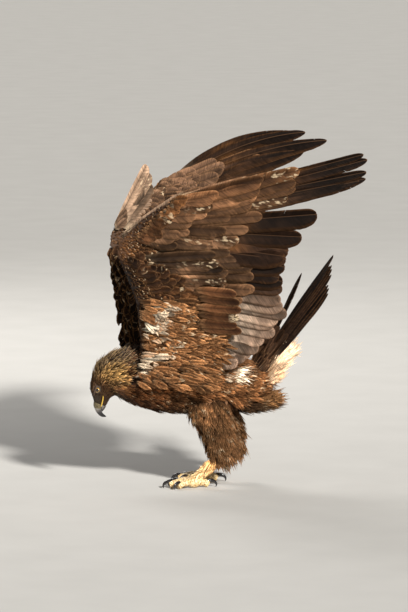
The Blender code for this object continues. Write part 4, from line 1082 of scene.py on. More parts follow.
def coat_tree():
    """Geometry Nodes that cover a patch of skin with feathers."""
    tree = bpy.data.node_groups.new("lay a coat", "GeometryNodeTree")
    sockets = {"Skin": "Geometry", "Feathers": "Collection", "Material": "Material", "Spacing": "Float",
               "Smallest": "Float", "Largest": "Float", "Lift": "Float", "Stray": "Float", "Seed": "Int"}
    for name, kind in sockets.items():
        tree.interface.new_socket(name, in_out="INPUT", socket_type="NodeSocket" + kind)
    tree.interface.new_socket("Coat", in_out="OUTPUT", socket_type="NodeSocketGeometry")

    def add(kind, inputs, **settings):
        """Add a node, then join or set its inputs, which are named or counted."""
        node = tree.nodes.new(kind)
        for key, value in settings.items():
            setattr(node, key, value)
        for key, value in inputs.items():
            socket = node.inputs[key] if isinstance(key, int) else (
                next(s for s in node.inputs if s.name == key and s.enabled))
            if isinstance(value, bpy.types.NodeSocket):
                tree.links.new(value, socket)
            else:
                socket.default_value = value
        return node.outputs

    def sum_of(operation, first, second):
        return add("ShaderNodeMath", {0: first, 1: second}, operation=operation)[0]

    def times(first, second):
        return sum_of("MULTIPLY", first, second)

    def random(low, high, offset):
        seed = sum_of("ADD", given["Seed"], offset)
        return add("FunctionNodeRandomValue", {2: low, 3: high, 8: seed}, data_type="FLOAT")[1]

    def named(name, kind):
        outputs = add("GeometryNodeInputNamedAttribute", {"Name": name}, data_type=kind)
        return next(out for out in outputs if out.enabled)

    def store(geometry, name, kind, domain, value):
        return add("GeometryNodeStoreNamedAttribute", {"Geometry": geometry, "Name": name, "Value": value},
                   data_type=kind, domain=domain)[0]

    given = tree.nodes.new("NodeGroupInput").outputs
    spacing, lift, stray = given["Spacing"], given["Lift"], given["Stray"]
    spread = add("GeometryNodeDistributePointsOnFaces", {
        "Mesh": given["Skin"], "Distance Min": spacing, "Density Max": sum_of("DIVIDE", 3.0, times(spacing, spacing)),
        "Seed": given["Seed"]}, distribute_method="POISSON")
    # stand up along the skin's normal, then turn to the flow, then lean and stray a little
    upright = add("FunctionNodeAlignRotationToVector", {"Vector": spread["Normal"]}, axis="Z")[0]
    along = add("FunctionNodeAlignRotationToVector", {"Rotation": upright, "Vector": named("flow", "FLOAT_VECTOR")},
                axis="Y", pivot_axis="Z")[0]
    lean = add("ShaderNodeCombineXYZ", {0: random(times(lift, 0.55), times(lift, 1.45), 3),
                                        1: random(times(stray, -0.7), times(stray, 0.7), 5),
                                        2: random(times(stray, -1.0), stray, 7)})[0]
    euler = add("FunctionNodeEulerToRotation", {0: lean})[0]
    turned = add("FunctionNodeRotateRotation", {0: along, 1: euler}, rotation_space="LOCAL")[0]
    patterns = add("GeometryNodeCollectionInfo", {0: given["Feathers"], "Separate Children": True,
                                                  "Reset Children": True})[0]
    pick = add("FunctionNodeRandomValue", {4: 0, 5: VARIANTS - 1}, data_type="INT")[2]
    points = store(spread["Points"], "root_map", "FLOAT_VECTOR", "POINT", named("OFBake", "FLOAT_VECTOR"))
    points = store(points, "tone", "FLOAT", "POINT", random(0.0, 1.0, 11))
    grown = times(random(given["Smallest"], given["Largest"], 9), named("size", "FLOAT"))
    copies = add("GeometryNodeInstanceOnPoints", {"Points": points, "Instance": patterns, "Pick Instance": True,
                                                  "Instance Index": pick, "Rotation": turned, "Scale": grown})[0]
    real = add("GeometryNodeRealizeInstances", {0: copies})[0]
    patch = add("ShaderNodeVectorMath", {0: named("lay", "FLOAT_VECTOR"), 1: BAKE_STRETCH,
                                         2: named("root_map", "FLOAT_VECTOR")}, operation="MULTIPLY_ADD")[0]
    mapped = store(real, "OFBake", "FLOAT2", "CORNER", patch)
    painted = add("GeometryNodeSetMaterial", {0: add("GeometryNodeSetShadeSmooth", {0: mapped})[0],
                                              "Material": given["Material"]})[0]
    add("NodeGroupOutput", {"Coat": painted})
    return tree


COAT_TREE = coat_tree()
print("coat tree has", len(COAT_TREE.nodes), "nodes")

# %% Lay one coat
def skin_patch(name, chosen, size):
    """A copy of the chosen part of the skin, with the size of its feathers."""
    keep = np.flatnonzero(chosen)
    place = np.full(len(chosen), -1)
    place[keep] = np.arange(len(keep))
    corners = place[read_numbers(skin_mesh.loops, "vertex_index", kind=int)]
    mapped = read_numbers(skin_mesh.uv_layers["OFBake"].data, "uv", 2)
    starts = read_numbers(skin_mesh.polygons, "loop_start", kind=int)
    ends = starts + read_numbers(skin_mesh.polygons, "loop_total", kind=int)
    spans = [(start, end) for start, end in zip(starts, ends) if corners[start:end].min() >= 0]
    mesh = bpy.data.meshes.new(name)
    mesh.from_pydata(skin_points[keep] - ORIGIN, [], [corners[start:end].tolist() for start, end in spans])
    mesh.uv_layers.new(name="OFBake").data.foreach_set(
        "uv", np.concatenate([mapped[start:end] for start, end in spans]).ravel())
    write_attribute(mesh, "flow", skin_flow[keep])
    write_attribute(mesh, "tint", skin_tint[keep])
    write_attribute(mesh, "size", size[keep])
    return in_scene(name, mesh)


def lay_coat(name, chosen, size, kind, material, spacing, smallest, largest, lift, stray, seed, slot="plumage"):
    """Cover part of the skin and keep the result as a plain mesh."""
    item = skin_patch("coat_" + name, chosen, size)
    tool = item.modifiers.new("coat", "NODES")
    tool.node_group = COAT_TREE
    values = {"Feathers": PATTERNS[kind], "Material": material, "Spacing": spacing, "Smallest": smallest,
              "Largest": largest, "Lift": math.radians(lift), "Stray": math.radians(stray), "Seed": seed}
    for socket in COAT_TREE.interface.items_tree:
        if socket.name in values:
            tool[socket.identifier] = values[socket.name]
    mesh = plain_mesh(item)
    item.modifiers.clear()
    item.data = mesh
    mesh.name = item.name
    for spare in ("flow", "size", "root_map"):
        if spare in mesh.attributes:
            mesh.attributes.remove(mesh.attributes[spare])
    keep_piece(item, slot)
    print(item.name, "has", triangles_of(mesh), "triangles")


EYE_CLEAR = 0.0088
from_eyes = skin_points - EYE_MIDDLE
eye_clear = np.hypot(from_eyes @ HEAD_AHEAD, from_eyes @ HEAD_CROWN) > EYE_CLEAR
plain = np.ones(len(skin_points))
on_body = on("body")
downwards = -skin_normals[:, 2]
throat = soft_step(downwards, -0.1, 0.5)
print("head points:", int((on_body & (skin_place < 2)).sum()))

# %% Coats of head, neck and trunk
MIDDLE_OVERLAP = 0.0015
head_size = np.interp(skin_place, [0.0, 0.6, 1.6, 2.6], [0.55, 0.75, 1.1, 1.7])
neck_size = np.interp(skin_place, [1.8, 2.6, 4.0, 6.0], [0.42, 0.66, 0.95, 1.25])
trunk_size = np.interp(skin_place, [2.6, 5.5, 7.0, 9.0, 12.0], [0.40, 0.75, 1.0, 1.15, 1.25])
trunk_size = trunk_size * (1 - 0.3 * soft_step(downwards, 0.3, 0.9))
face_area = on_body & (skin_place < 2.15) & eye_clear
neck_area = on_body & (skin_place > 1.75) & (skin_place < 5.3 - 2.7 * throat)
lay_coat("face", face_area, head_size, "face", FACE, 0.0021, 0.8, 1.2, 16, 10, 1)
lay_coat("neck", neck_area, neck_size, "hackle", HACKLE, 0.0038, 0.8, 1.25, 17, 16, 2, "hackle")
for name, side in SIDES.items():
    half = on_body & (skin_place > 4.7 - 2.7 * throat) & (skin_points[:, 1] * side > -MIDDLE_OVERLAP)
    lay_coat("trunk_" + name, half, trunk_size, "contour", PLUME, 0.0060, 0.70, 1.20, 9, 20, 4 + side)

# %% Coats of legs, vent, undertail and rump
thigh_size = (np.interp(skin_place, [0.0, 0.5, 1.0], [0.8, 1.0, 1.1])
              * (1 - 0.35 * soft_step(-skin_normals[:, 0], 0.2, 0.9)))
for name, seed in (("left", 10), ("right", 20)):
    lay_coat("thigh_" + name, on("thigh_" + name), thigh_size, "tuft", TROUSER, 0.0066, 0.8, 1.25, 15, 18, seed)
    lay_coat("shank_" + name, on("shank_" + name), plain * 1.6, "shank", DOWN, 0.0028, 0.8, 1.2, 16, 10, seed + 1,
             "tawny_feather")
lay_coat("vent", on("vent"), plain * 1.0, "down", PLUME, 0.0060, 0.8, 1.15, 9, 10, 31)
lay_coat("undertail", on("undertail"), plain * 1.05, "down", DOWN, 0.0052, 0.8, 1.2, 13, 13, 32, "tawny_feather")
lay_coat("rump", on("tail"), plain * 0.9, "contour", PLUME, 0.0070, 0.9, 1.2, 7, 8, 33)

# %% Small coverts of the wings
# the wing's front edge: places up along the wing, and how far back the edge lies there
EDGE_UP = [-0.05, 0.12, 0.248, 0.329, 0.371, 0.401]
EDGE_BACK = [-0.03, -0.031, -0.066, -0.012, 0.040, 0.098]
LINING_REACH = 0.085
for (name, side), seed in zip(SIDES.items(), (40, 50)):
    a, b = wing_share(side, skin_points)[:2]
    behind = a - np.interp(b, EDGE_UP, EDGE_BACK)
    size = (0.50 + 0.55 * soft_step(behind, 0.004, 0.055)) * np.interp(b, [0.0, 0.1, 0.3], [1.2, 1.05, 0.85])
    lay_coat("lining_" + name, on("wing_" + name) & (behind < LINING_REACH), size, "lesser", LINING, 0.0050,
             0.8, 1.25, 10, 14, seed)

# %% [markdown]
# ## Long feathers
# Flight and tail feathers are big enough to be built one by one. A vane is a grid that follows
# its barbs: each row leaves the shaft at a slant, so that a gap between two rows opens in the
# way a real vane splits. The shaft is a thin tapering rod on top. The rows of feathers are
# loops over a few lines of roots and tips, with a little seeded disorder.

# %% Build a vane
SLANT = 0.75
SETTLE_ROUNDS = 16
VANE_THICK = 0.0006
RIPPLE = 0.0006
ROD_RINGS = 12
# share along the shaft and share of the full width; last number is how far the tip is rounded
BROAD_FEATHER = ([0.0, 0.06, 0.25, 0.60, 1.0], [0.20, 0.48, 0.82, 1.0, 0.95], 1.5)
FINGER_FRONT = ([0.0, 0.06, 0.30, 0.45, 0.62, 1.0], [0.22, 0.6, 1.0, 0.95, 0.62, 0.52], 2.0)
TAPERED = ([0.0, 0.06, 0.30, 0.60, 0.82, 1.0], [0.22, 0.5, 0.90, 1.0, 0.78, 0.40], 2.0)
FINGER_REAR = ([0.0, 0.06, 0.25, 0.45, 0.62, 1.0], [0.22, 0.5, 0.90, 1.0, 0.62, 0.52], 2.0)
TAIL_FEATHER = ([0.0, 0.10, 0.45, 0.75, 1.0], [0.22, 0.50, 0.95, 1.0, 0.55], 3.2)
SHORT_FEATHER = ([0.0, 0.10, 0.40, 0.75, 1.0], [0.30, 0.65, 1.0, 1.0, 0.9], 1.4)
SOFT_FEATHER = ([0.0, 0.15, 0.50, 0.80, 1.0], [0.35, 0.75, 1.0, 0.80, 0.45], 1.2)


def vane_width(share, outline, width, length):
    """Half width of a vane at a share of its length, rounded off at the tip."""
    steps, values, roundness = outline
    tip = min(0.6, roundness * width / length)
    t = np.clip((share - 1 + tip) / tip, 0, 1)
    return np.interp(share, steps, values) * width * np.sqrt(np.maximum(1 - t ** 2, 0))


def vane_grid(length, widths, outlines, rows, columns, draw, splits):
    """Along and across of every point of a vane, with thin splits that run along its barbs."""
    share = 1 - (1 - np.linspace(0, 1, rows)) ** 1.45
    breaks = [(draw.uniform(0.30, 0.93), draw.integers(2), draw.uniform(0.3, 0.75))
              for _ in range(draw.poisson(splits))]
    thin = 0.0009 / length
    share = np.unique(np.concatenate([share] + [[place - thin, place, place + thin] for place, _, _ in breaks]))
    reach = np.linspace(-1, 1, columns)
    halves = []
    for side, (outline, width) in enumerate(zip(outlines, widths)):
        half = vane_width(share, outline, width, length)
        for _ in range(SETTLE_ROUNDS):
            further = np.minimum(share + SLANT * half / length, 1.0)
            half = 0.5 * half + 0.5 * vane_width(further, outline, width, length)
        half *= 1 + draw.uniform(-0.015, 0.015, len(share))
        for place, which, depth in breaks:
            if which == side:
                half[share == place] *= depth
        halves.append(half)
    half = np.where(reach[None, :] > 0, halves[0][:, None], halves[1][:, None])
    across = half * reach[None, :]
    along = np.minimum(share[:, None] * length + np.abs(across) * SLANT, length)
    full = np.where(reach[None, :] > 0, vane_width(along / length, outlines[0], widths[0], length),
                    vane_width(along / length, outlines[1], widths[1], length))
    edge = np.clip(np.abs(across) / np.maximum(full, 1e-5), 0, 1)
    edge = np.maximum(edge, soft_step(along / length, 1 - widths[1] * 0.35 / length, 1.0))
    return share, reach, across, along, edge


def grid_faces(rows, columns):
    """Faces of a closed thin sheet: upper grid, lower grid and rim."""
    index = np.arange(rows * columns).reshape(rows, columns)
    under = index + rows * columns
    top = np.stack([index[:-1, :-1], index[:-1, 1:], index[1:, 1:], index[1:, :-1]], axis=-1).reshape(-1, 4)
    low = np.stack([under[:-1, :-1], under[1:, :-1], under[1:, 1:], under[:-1, 1:]], axis=-1).reshape(-1, 4)
    rim = []
    for line, other in ((index[:, 0], under[:, 0]), (index[-1, :], under[-1, :]),
                        (index[::-1, -1], under[::-1, -1]), (index[0, ::-1], under[0, ::-1])):
        rim.append(np.stack([line[:-1], line[1:], other[1:], other[:-1]], axis=-1))
    return np.concatenate([top, low, *rim])


def shaft_faces(rows):
    """Faces of a four sided rod with its ends closed."""
    faces = [(row * 4 + step, row * 4 + (step + 1) % 4, row * 4 + (step + 1) % 4 + 4, row * 4 + step + 4)
             for row in range(rows - 1) for step in range(4)]
    last = (rows - 1) * 4
    return np.array(faces + [(3, 2, 1, 0), (last, last + 1, last + 2, last + 3)])


class Rack:
    """Long feathers of one piece, each with its own strip of the bake map."""

    def __init__(self, room):
        per_line = max(1, math.ceil(math.sqrt(room * 6)))
        self.lines = math.ceil(room / per_line)
        self.per_line = per_line
        self.points, self.faces, self.patches, self.carried = [], [], [], {}
        self.size = self.count = 0

    def gather(self, points, faces, patch, **carried):
        """Keep one closed shape; patch gives each point's place on the bake map."""
        self.points.append(points)
        self.faces.append(faces + self.size)
        self.patches.append(patch)
        self.size += len(points)
        for name, values in carried.items():
            self.carried.setdefault(name, []).append(np.full(len(points), values) if np.isscalar(values) else values)

    def add(self, put, length, widths, outlines, colour, draw, rows=30, columns=7, level=(0.0, 0.0), bend=0.0,
            tile=0.12, camber=0.06, splits=1.5, shaft=0.0011, twist=0.0, curve=0.0, fray=0.0):
        """One feather; put places (along, across, level) in the bird's coordinates."""
        share, reach, across, along, edge = vane_grid(length, widths, outlines, rows, columns, draw, splits)
        rows = len(share)
        sweep = draw.uniform(-0.014, 0.014)
        along = along - fray * length * draw.uniform(0, 1, columns) * soft_step(along / length, 0.6, 1.0)
        part = along / length
        across_placed = across + sweep * length * part ** 2 + curve * length * 4 * part * (1 - part)
        wave = draw.uniform(0, 6)
        height = (level[0] + (level[1] - level[0]) * part + bend * part ** 2 - tile * across * (1 + twist * part)
                  - camber * np.abs(across) * np.abs(reach)[None, :] + RIPPLE * np.sin(part * 9 + wave))
        thick = VANE_THICK * (1 - 0.5 * part) * (1 - 0.5 * np.abs(reach)[None, :])
        sheets = [put(along, across_placed, height + half).reshape(-1, 3) for half in (thick / 2, -thick / 2)]
        lay = np.stack([across, along, edge], axis=-1).reshape(-1, 3)
        tone = draw.uniform(0.0, 1.0)
        tint = colour(part, reach[None, :] + 0 * across, draw).reshape(-1, 3)
        step, strip_height = 1.0 / self.per_line, 0.94 / self.lines
        corner = (self.count % self.per_line) * step, (self.count // self.per_line) / self.lines
        strip = np.stack([corner[0] + (reach[None, :] + 1) / 2 * step * 0.9 + 0 * across,
                          corner[1] + share[:, None] * strip_height + 0 * across], axis=-1).reshape(-1, 2)
        self.gather(np.concatenate(sheets), grid_faces(rows, columns), np.tile(strip, (2, 1)),
                    lay=np.tile(lay, (2, 1)), tone=tone, reach=np.tile(part.ravel(), 2), tint=np.tile(tint, (2, 1)))
        self.count += 1
        if not shaft:
            return
        rod = np.linspace(0, 0.96 - fray, ROD_RINGS)
        centre = level[0] + (level[1] - level[0]) * rod + bend * rod ** 2 + RIPPLE * np.sin(rod * 9 + wave)
        size = shaft * (1 - 0.8 * rod)
        line = sweep * length * rod ** 2 + curve * length * 4 * rod * (1 - rod)
        points = np.stack([put(rod * length, line + size * aside, centre + size * lift)
                           for aside, lift in ((-1, 0), (0, 1), (1, 0), (0, -1))], axis=1).reshape(-1, 3)
        middle = tint.reshape(rows, columns, 3)[(rod * (rows - 1)).astype(int), columns // 2]
        strip = np.stack([np.full(len(points), corner[0] + step * 0.45),
                          np.repeat(corner[1] + rod * strip_height, 4)], axis=-1)
        lay = np.zeros((len(points), 3))
        lay[:, 1] = np.repeat(rod * length, 4)
        self.gather(points, shaft_faces(ROD_RINGS), strip, lay=lay, tone=tone, reach=np.repeat(rod, 4),
                    tint=np.repeat(middle, 4, axis=0))

    def build(self, name, material, slot, *nodes):
        """The finished piece."""
        mesh = bpy.data.meshes.new(name)
        mesh.from_pydata(np.concatenate(self.points) - ORIGIN, [], np.concatenate(self.faces).tolist())
        for key, values in self.carried.items():
            write_attribute(mesh, key, np.concatenate(values))
        corners = read_numbers(mesh.loops, "vertex_index", kind=int)
        bake_map = mesh.uv_layers.new(name="OFBake")
        bake_map.data.foreach_set("uv", np.concatenate(self.patches)[corners].ravel())
        smooth_and_paint(mesh, material)
        face_outwards(mesh)
        keep_piece(in_scene(name, mesh), slot, *nodes)
        print(name, "has", triangles_of(mesh), "triangles in", self.count, "feathers")


print("vane rows slant by", SLANT)

# %% Colours of the long feathers
def flight_colour(base, tip, bars, root=None):
    """Base to tip, with a pale root and faint bars."""
    def colour(share, reach, draw):
        result = blend(base, tip, soft_step(share, 0.35, 0.85))
        if root is not None:
            result = blend(root, result, soft_step(share, 0.02, 0.30))
        phase = draw.uniform(0, 6)
        wave = 0.5 + 0.5 * np.sin(share * 46 + phase + np.abs(reach) * 1.5)
        return result * (1 - bars * wave)[..., None]
    return colour


def vary(colour, draw, amount=0.12):
    """A colour a little lighter or darker."""
    return np.asarray(colour) * (1 + draw.uniform(-amount, amount))


def primary_colour(side):
    """Dark fingers with a painted bronze highlight where light shines through, weaker on the far wing, whose base is
    also darkened as painted shade, and painted shade along both edges.
    """
    def pick(share, draw):
        # the far wing gets less painted highlight and a base darkened as painted shade
        strength = 1.0 if side < 0 else 0.45
        base = vary(blend(shade(104, 74, 52), shade(74, 50, 35), share) * (0.45 + 0.55 * strength), draw, 0.25)
        tip = vary(blend(shade(60, 40, 28), shade(27, 19, 15), soft_step(share, 0.2, 0.6)), draw)
        painted_highlight = shade(204, 134, 72) * draw.uniform(0.3, 1.1) * strength
        place, off = draw.uniform(0.36, 0.60), draw.uniform(-0.45, 0.25)

        def colour(part, reach, draw):
            result = flight_colour(base, tip, 0.25, shade(190, 160, 128))(part, reach, draw)
            # a spot of painted highlight, where light shines through the vane
            spot = np.exp(-((part - place) / 0.10) ** 2) * np.exp(-((reach - off) / 0.30) ** 2)
            lines = 1 + 0.30 * np.sin(reach * 9 + 40 * place) * soft_step(part, 0.1, 0.3)
            result = blend(result, painted_highlight, spot * 0.75) * lines[..., None]
            # painted shade along both edges of the vane, where the next feather overlaps
            return result * (1 - 0.55 * np.abs(reach) ** 3)[..., None]
        return colour
    return pick


def secondary_colour(share, draw):
    """Brown with dark ends by the wrist, pale grey brown by the body."""
    inner = soft_step(share, 0.30, 0.50)
    base = blend(shade(90, 66, 48), shade(222, 198, 174), inner)
    tip = blend(shade(56, 39, 29), shade(160, 132, 112), inner)
    return flight_colour(vary(base, draw), vary(tip, draw, 0.2), 0.28, shade(226, 204, 178))


def covert_colour(first, second, root, amount=0.2):
    """Covert colour that changes along the wing."""
    def pick(share, draw):
        base = vary(blend(first, second, share), draw, amount)
        return flight_colour(base, vary(base * 0.78, draw, 0.2), 0.10, root)
    return pick


print("flight colours ready")

# %% Wing feathers
SECONDARY_COUNT = 17
# room on the bake map of a piece with hundreds of feathers
MANY = 640
PRIMARY_ENDS = {
    LEFT: [(0.332, 0.252), (0.340, 0.264), (0.350, 0.280), (0.383, 0.312), (0.424, 0.374), (0.528, 0.458),
           (0.541, 0.472), (0.545, 0.484), (0.549, 0.509), (0.542, 0.521)],
    RIGHT: [(0.340, 0.262), (0.356, 0.285), (0.374, 0.322), (0.395, 0.370), (0.420, 0.425), (0.462, 0.468),
            (0.512, 0.490), (0.588, 0.528), (0.528, 0.540), (0.500, 0.541)],
}
PRIMARY_CURVE = {LEFT: 0.0, RIGHT: 0.078}
FRONT_LINE = [(-0.050, 0.236), (-0.040, 0.190), (-0.028, 0.130), (-0.026, 0.070), (-0.026, 0.010)]
HAND_FRONT = [(-0.046, 0.292), (-0.010, 0.326), (0.040, 0.366), (0.080, 0.392)]
# the far wing stands in weaker, cooler light in the photo, so its feathers are a little dimmer
FAR_DIM = np.array([0.76, 0.80, 0.86])


def lines_between(first, second, share):
    """A line of places that lies between two lines of keys."""
    places = np.linspace(0, 1, 12)
    share = np.interp(places, [0.0, 0.32, 0.52, 1.0], np.broadcast_to(share, 2)[[0, 0, 1, 1]])[:, None]
    return keyed(first, places) * (1 - share) + keyed(second, places) * share


def wing_put(side, root, tip):
    """A way to place a feather on the wing's plane from its root to its tip."""
    run = np.asarray(tip, float) - root
    length = float(np.linalg.norm(run))
    ahead = run / length
    front = np.array([-ahead[1], ahead[0]])

    def put(along, across, height):
        along, across, height = np.broadcast_arrays(along, across, height)
        a = root[0] + ahead[0] * along + front[0] * across
        b = root[1] + ahead[1] * along + front[1] * across
        return wing_point(side, a, b, height)
    return put, length


# place on the wing, reach both ways, and how much lighter or darker the coat is there; the pale and cream marks are
# its own, the dark ones partly its own dark feathers and partly painted shade
WING_MARKS = [
    (0.070, 0.300, 0.045, 0.045, -0.62), (0.185, 0.215, 0.070, 0.040, -0.78), (0.037, 0.216, 0.045, 0.045, -0.62),
    (-0.043, 0.142, 0.022, 0.100, -0.50), (0.211, 0.383, 0.050, 0.025, 0.35), (0.319, 0.391, 0.060, 0.020, 0.70),
    (0.100, 0.214, 0.020, 0.012, 2.40), (0.005, 0.226, 0.012, 0.008, 2.00), (0.131, 0.147, 0.040, 0.020, 0.35),
    (0.300, 0.230, 0.050, 0.050, -0.45), (0.019, 0.307, 0.020, 0.018, 0.35), (0.225, 0.310, 0.016, 0.012, 0.60),
    (0.262, 0.296, 0.014, 0.010, 0.60),
]


def wing_marks_and_shading(a, b):
    """How light the coat is at a place on the wing: broad patches, partly its markings and partly painted light and
    shade, and a painted mottle of light and shade all over.
    """
    result = 1.0
    for middle_a, middle_b, reach_a, reach_b, change in WING_MARKS:
        result *= 1 + change * np.exp(-((a - middle_a) / reach_a) ** 2 - ((b - middle_b) / reach_b) ** 2)
    # painted light and shade, mottled over the whole wing
    mottle = np.sin(a * 130 + 1.7 * np.sin(b * 90)) * np.sin(b * 115 + 2.1 * np.sin(a * 70 + 1.0))
    return result * (1 + 0.32 * mottle)


def shaded(colour, root, tip, dim):
    """The same feather colour under the wing's markings and its painted light and shade."""
    def result(part, reach, draw):
        places = [root[axis] + (tip[axis] - root[axis]) * part for axis in (0, 1)]
        return colour(part, reach, draw) * wing_marks_and_shading(*places)[..., None] * dim
    return result


def wing_row(rack, side, draw, roots, tips, count, level, widths, outlines, colour, bend=0.0, wander=0.0025,
             curve=0.0, **more):
    """A row of like feathers between two lines, each a little different."""
    shares = np.linspace(0, 1, count)
    for index, (root, tip) in enumerate(zip(keyed(roots, shares), keyed(tips, shares))):
        root = root + draw.uniform(-wander, wander, 2) * 0.5
        tip = tip + draw.uniform(-wander, wander, 2) * 1.4
        put, length = wing_put(side, root, tip)
        front, rear = ((w(shares[index]) if callable(w) else w) * draw.uniform(0.8, 1.2) for w in widths)
        shape = outlines(index) if callable(outlines) else outlines
        lift = draw.uniform(-0.0006, 0.0006)
        paint = shaded(colour(shares[index], draw), root, tip, 1.0 if side == LEFT else FAR_DIM)
        rack.add(put, length, (front, rear), shape, paint, draw, level=(level[0] + lift, level[1] + lift),
                 bend=bend, curve=curve * shares[index] ** 2, **more)


# rows of coverts, each with its count; how far its roots lie towards the wing's front; how far its
# tips reach, on the lower and on the upper side, back (+) or towards the front (-); its levels at
# root and tip; the widths of its vanes; its colours; and the rows of its grids
ARM_ROWS = [
    (18, 0.10, ((0.76, 0.42), 0.42), (0.0046, 0.0092), (0.0130, 0.0180), "greater", 18),
    (22, 0.28, ((0.50, 0.20), 0.20), (0.0058, 0.0104), (0.0115, 0.0155), "greater", 16),
    (24, 0.44, (0.03, 0.03), (0.0070, 0.0116), (0.0105, 0.0135), "median", 14),
    (26, 0.58, (-0.14, -0.14), (0.0084, 0.0130), (0.0095, 0.0120), "median", 12),
    (28, 0.72, (-0.30, -0.30), (0.0098, 0.0146), (0.0085, 0.0105), "lesser", 12),
]
HAND_ROWS = [
    (10, 0.10, (0.64, 0.40), (0.0034, 0.0072), (0.013, 0.018), "greater", 16),
    (12, 0.24, (0.46, 0.24), (0.0046, 0.0084), (0.012, 0.016), "greater", 16),
    (13, 0.38, (0.22, 0.16), (0.0052, 0.0090), (0.011, 0.015), "greater", 16),
    (14, 0.52, (0.06, 0.06), (0.0058, 0.0096), (0.010, 0.013), "median", 16),
]
# colours by the body and by the wrist, on the lower and on the upper side, then at the root
COVERT_TINTS = {
    "greater": (((132, 98, 72), (120, 82, 54)), ((118, 88, 66), (128, 94, 70)), (206, 176, 142), 0.42),
    "median": (((82, 54, 35), (134, 88, 52)), ((112, 84, 64), (124, 92, 68)), (150, 112, 78), 0.35),
    "lesser": (((64, 42, 28), (118, 76, 44)), ((104, 78, 60), (112, 84, 62)), (130, 94, 62), 0.4),
}


def covert_colours(upper):
    """The covert colours of the wing's lower (0) or upper (1) side."""
    colours = {}
    for kind, (*sides, root, amount) in COVERT_TINTS.items():
        first, second = sides[upper]
        colours[kind] = covert_colour(shade(*first), shade(*second), shade(*root), amount)
    return colours


def covert_lines(ends, on_arm, root_share, tip_share):
    """Lines of roots and tips of one row of coverts, on the arm or on the hand."""
    if not on_arm:
        return (lines_between(PRIMARY_ROOTS, HAND_FRONT, root_share) + np.array([0.004, 0.012]),
                lines_between(PRIMARY_ROOTS, ends, tip_share) + np.array([0.0, 0.010]))
    towards = SECONDARY_TIPS if np.min(tip_share) > 0 else FRONT_LINE
    return (lines_between(SECONDARY_ROOTS, FRONT_LINE, root_share) + np.array([0.0, -0.006]),
            lines_between(SECONDARY_ROOTS, towards, np.abs(tip_share)) + np.array([0.0, -0.004]))


def wing_feathers(name, side):
    """Every long feather of one wing."""
    draw = np.random.default_rng(SEED + side)
    ends = PRIMARY_ENDS[side]
    flight = Rack(SECONDARY_COUNT + len(ends))
    both = (BROAD_FEATHER, BROAD_FEATHER)
    fingers = (FINGER_FRONT, FINGER_REAR) if side == LEFT else (TAPERED, TAPERED)
    primary_outlines = [both] * 5 + [(TAPERED, TAPERED)] * 2 + [fingers] * 3
    taper = 0.010 if side == LEFT else 0.002
    wing_row(flight, side, draw, SECONDARY_ROOTS, SECONDARY_TIPS, SECONDARY_COUNT, (0.0, 0.0),
             (0.018, 0.025), both, secondary_colour, 0.012, 0.005, twist=0.4)
    wing_row(flight, side, draw, PRIMARY_ROOTS, ends, len(ends), (0.0, 0.0),
             (lambda s: 0.017 - 0.004 * s, lambda s: 0.034 - taper * s), lambda index: primary_outlines[index],
             primary_colour(side), 0.016, 0.001, rows=38, curve=PRIMARY_CURVE[side])
    flight.build("flight_" + name, FLIGHT, "flight_feather", f"wing_{name}_hand")
    coverts = Rack(MANY)
    for face, upper in ((-1, 1), (1, 0)):
        colours = covert_colours(upper)
        for table, wander in ((ARM_ROWS, 0.0075), (HAND_ROWS, 0.005)):
            for count, root_share, tip_shares, levels, widths, kind, grid_rows in table:
                roots, tips = covert_lines(ends, table is ARM_ROWS, root_share, tip_shares[upper])
                wing_row(coverts, side, draw, roots, tips, count, [face * level for level in levels], widths,
                         (SHORT_FEATHER, SHORT_FEATHER), colours[kind], face * 0.001, wander, rows=grid_rows,
                         columns=5, splits=0.8, shaft=0.0006)
    coverts.build("coverts_" + name, COVERT, "plumage", f"wing_{name}_arm")


print("rows of coverts on each side of a wing:", len(ARM_ROWS), "on the arm and", len(HAND_ROWS), "on the hand")

# %% [markdown]
# The wing pit is where the wing joins the body. Its feathers are loose and ruffled, and cream in
# patches, so they are frayed and strewn over a grid rather than set in rows. The same loose kind,
# dark brown and darkened further as painted shade from the near wing, forms a band along the front
# edge of the far wing.

# %% Loose feathers of the wing pit and the front edge
# middle and reach of the cream patches of the wing pit
CREAM_MARKS = [(0.024, 0.128, 0.017, 0.017), (0.010, 0.110, 0.017, 0.020), (-0.004, 0.086, 0.014, 0.020),
               (-0.012, 0.064, 0.012, 0.014), (0.020, 0.030, 0.018, 0.010), (0.002, 0.006, 0.020, 0.011),
               (-0.020, -0.014, 0.022, 0.014)]
# height on the wing and how far back each of the last inner coverts reaches
LAST_COVERTS = [(0.169, 0.222), (0.149, 0.228), (0.128, 0.230), (0.107, 0.222), (0.089, 0.216), (0.074, 0.226)]
# the grid on which the feathers of the wing pit are strewn
PIT_ROWS = np.arange(0.142, -0.046, -0.0078)
PIT_STEP = 0.0125
# places up along the far wing, and how far each row stands before its front edge
FORE_ROWS = np.arange(0.232, -0.004, -0.0068)
FORE_REACHES = (0.008, 0.000, -0.009, -0.018)
FORE_ROOM = 160


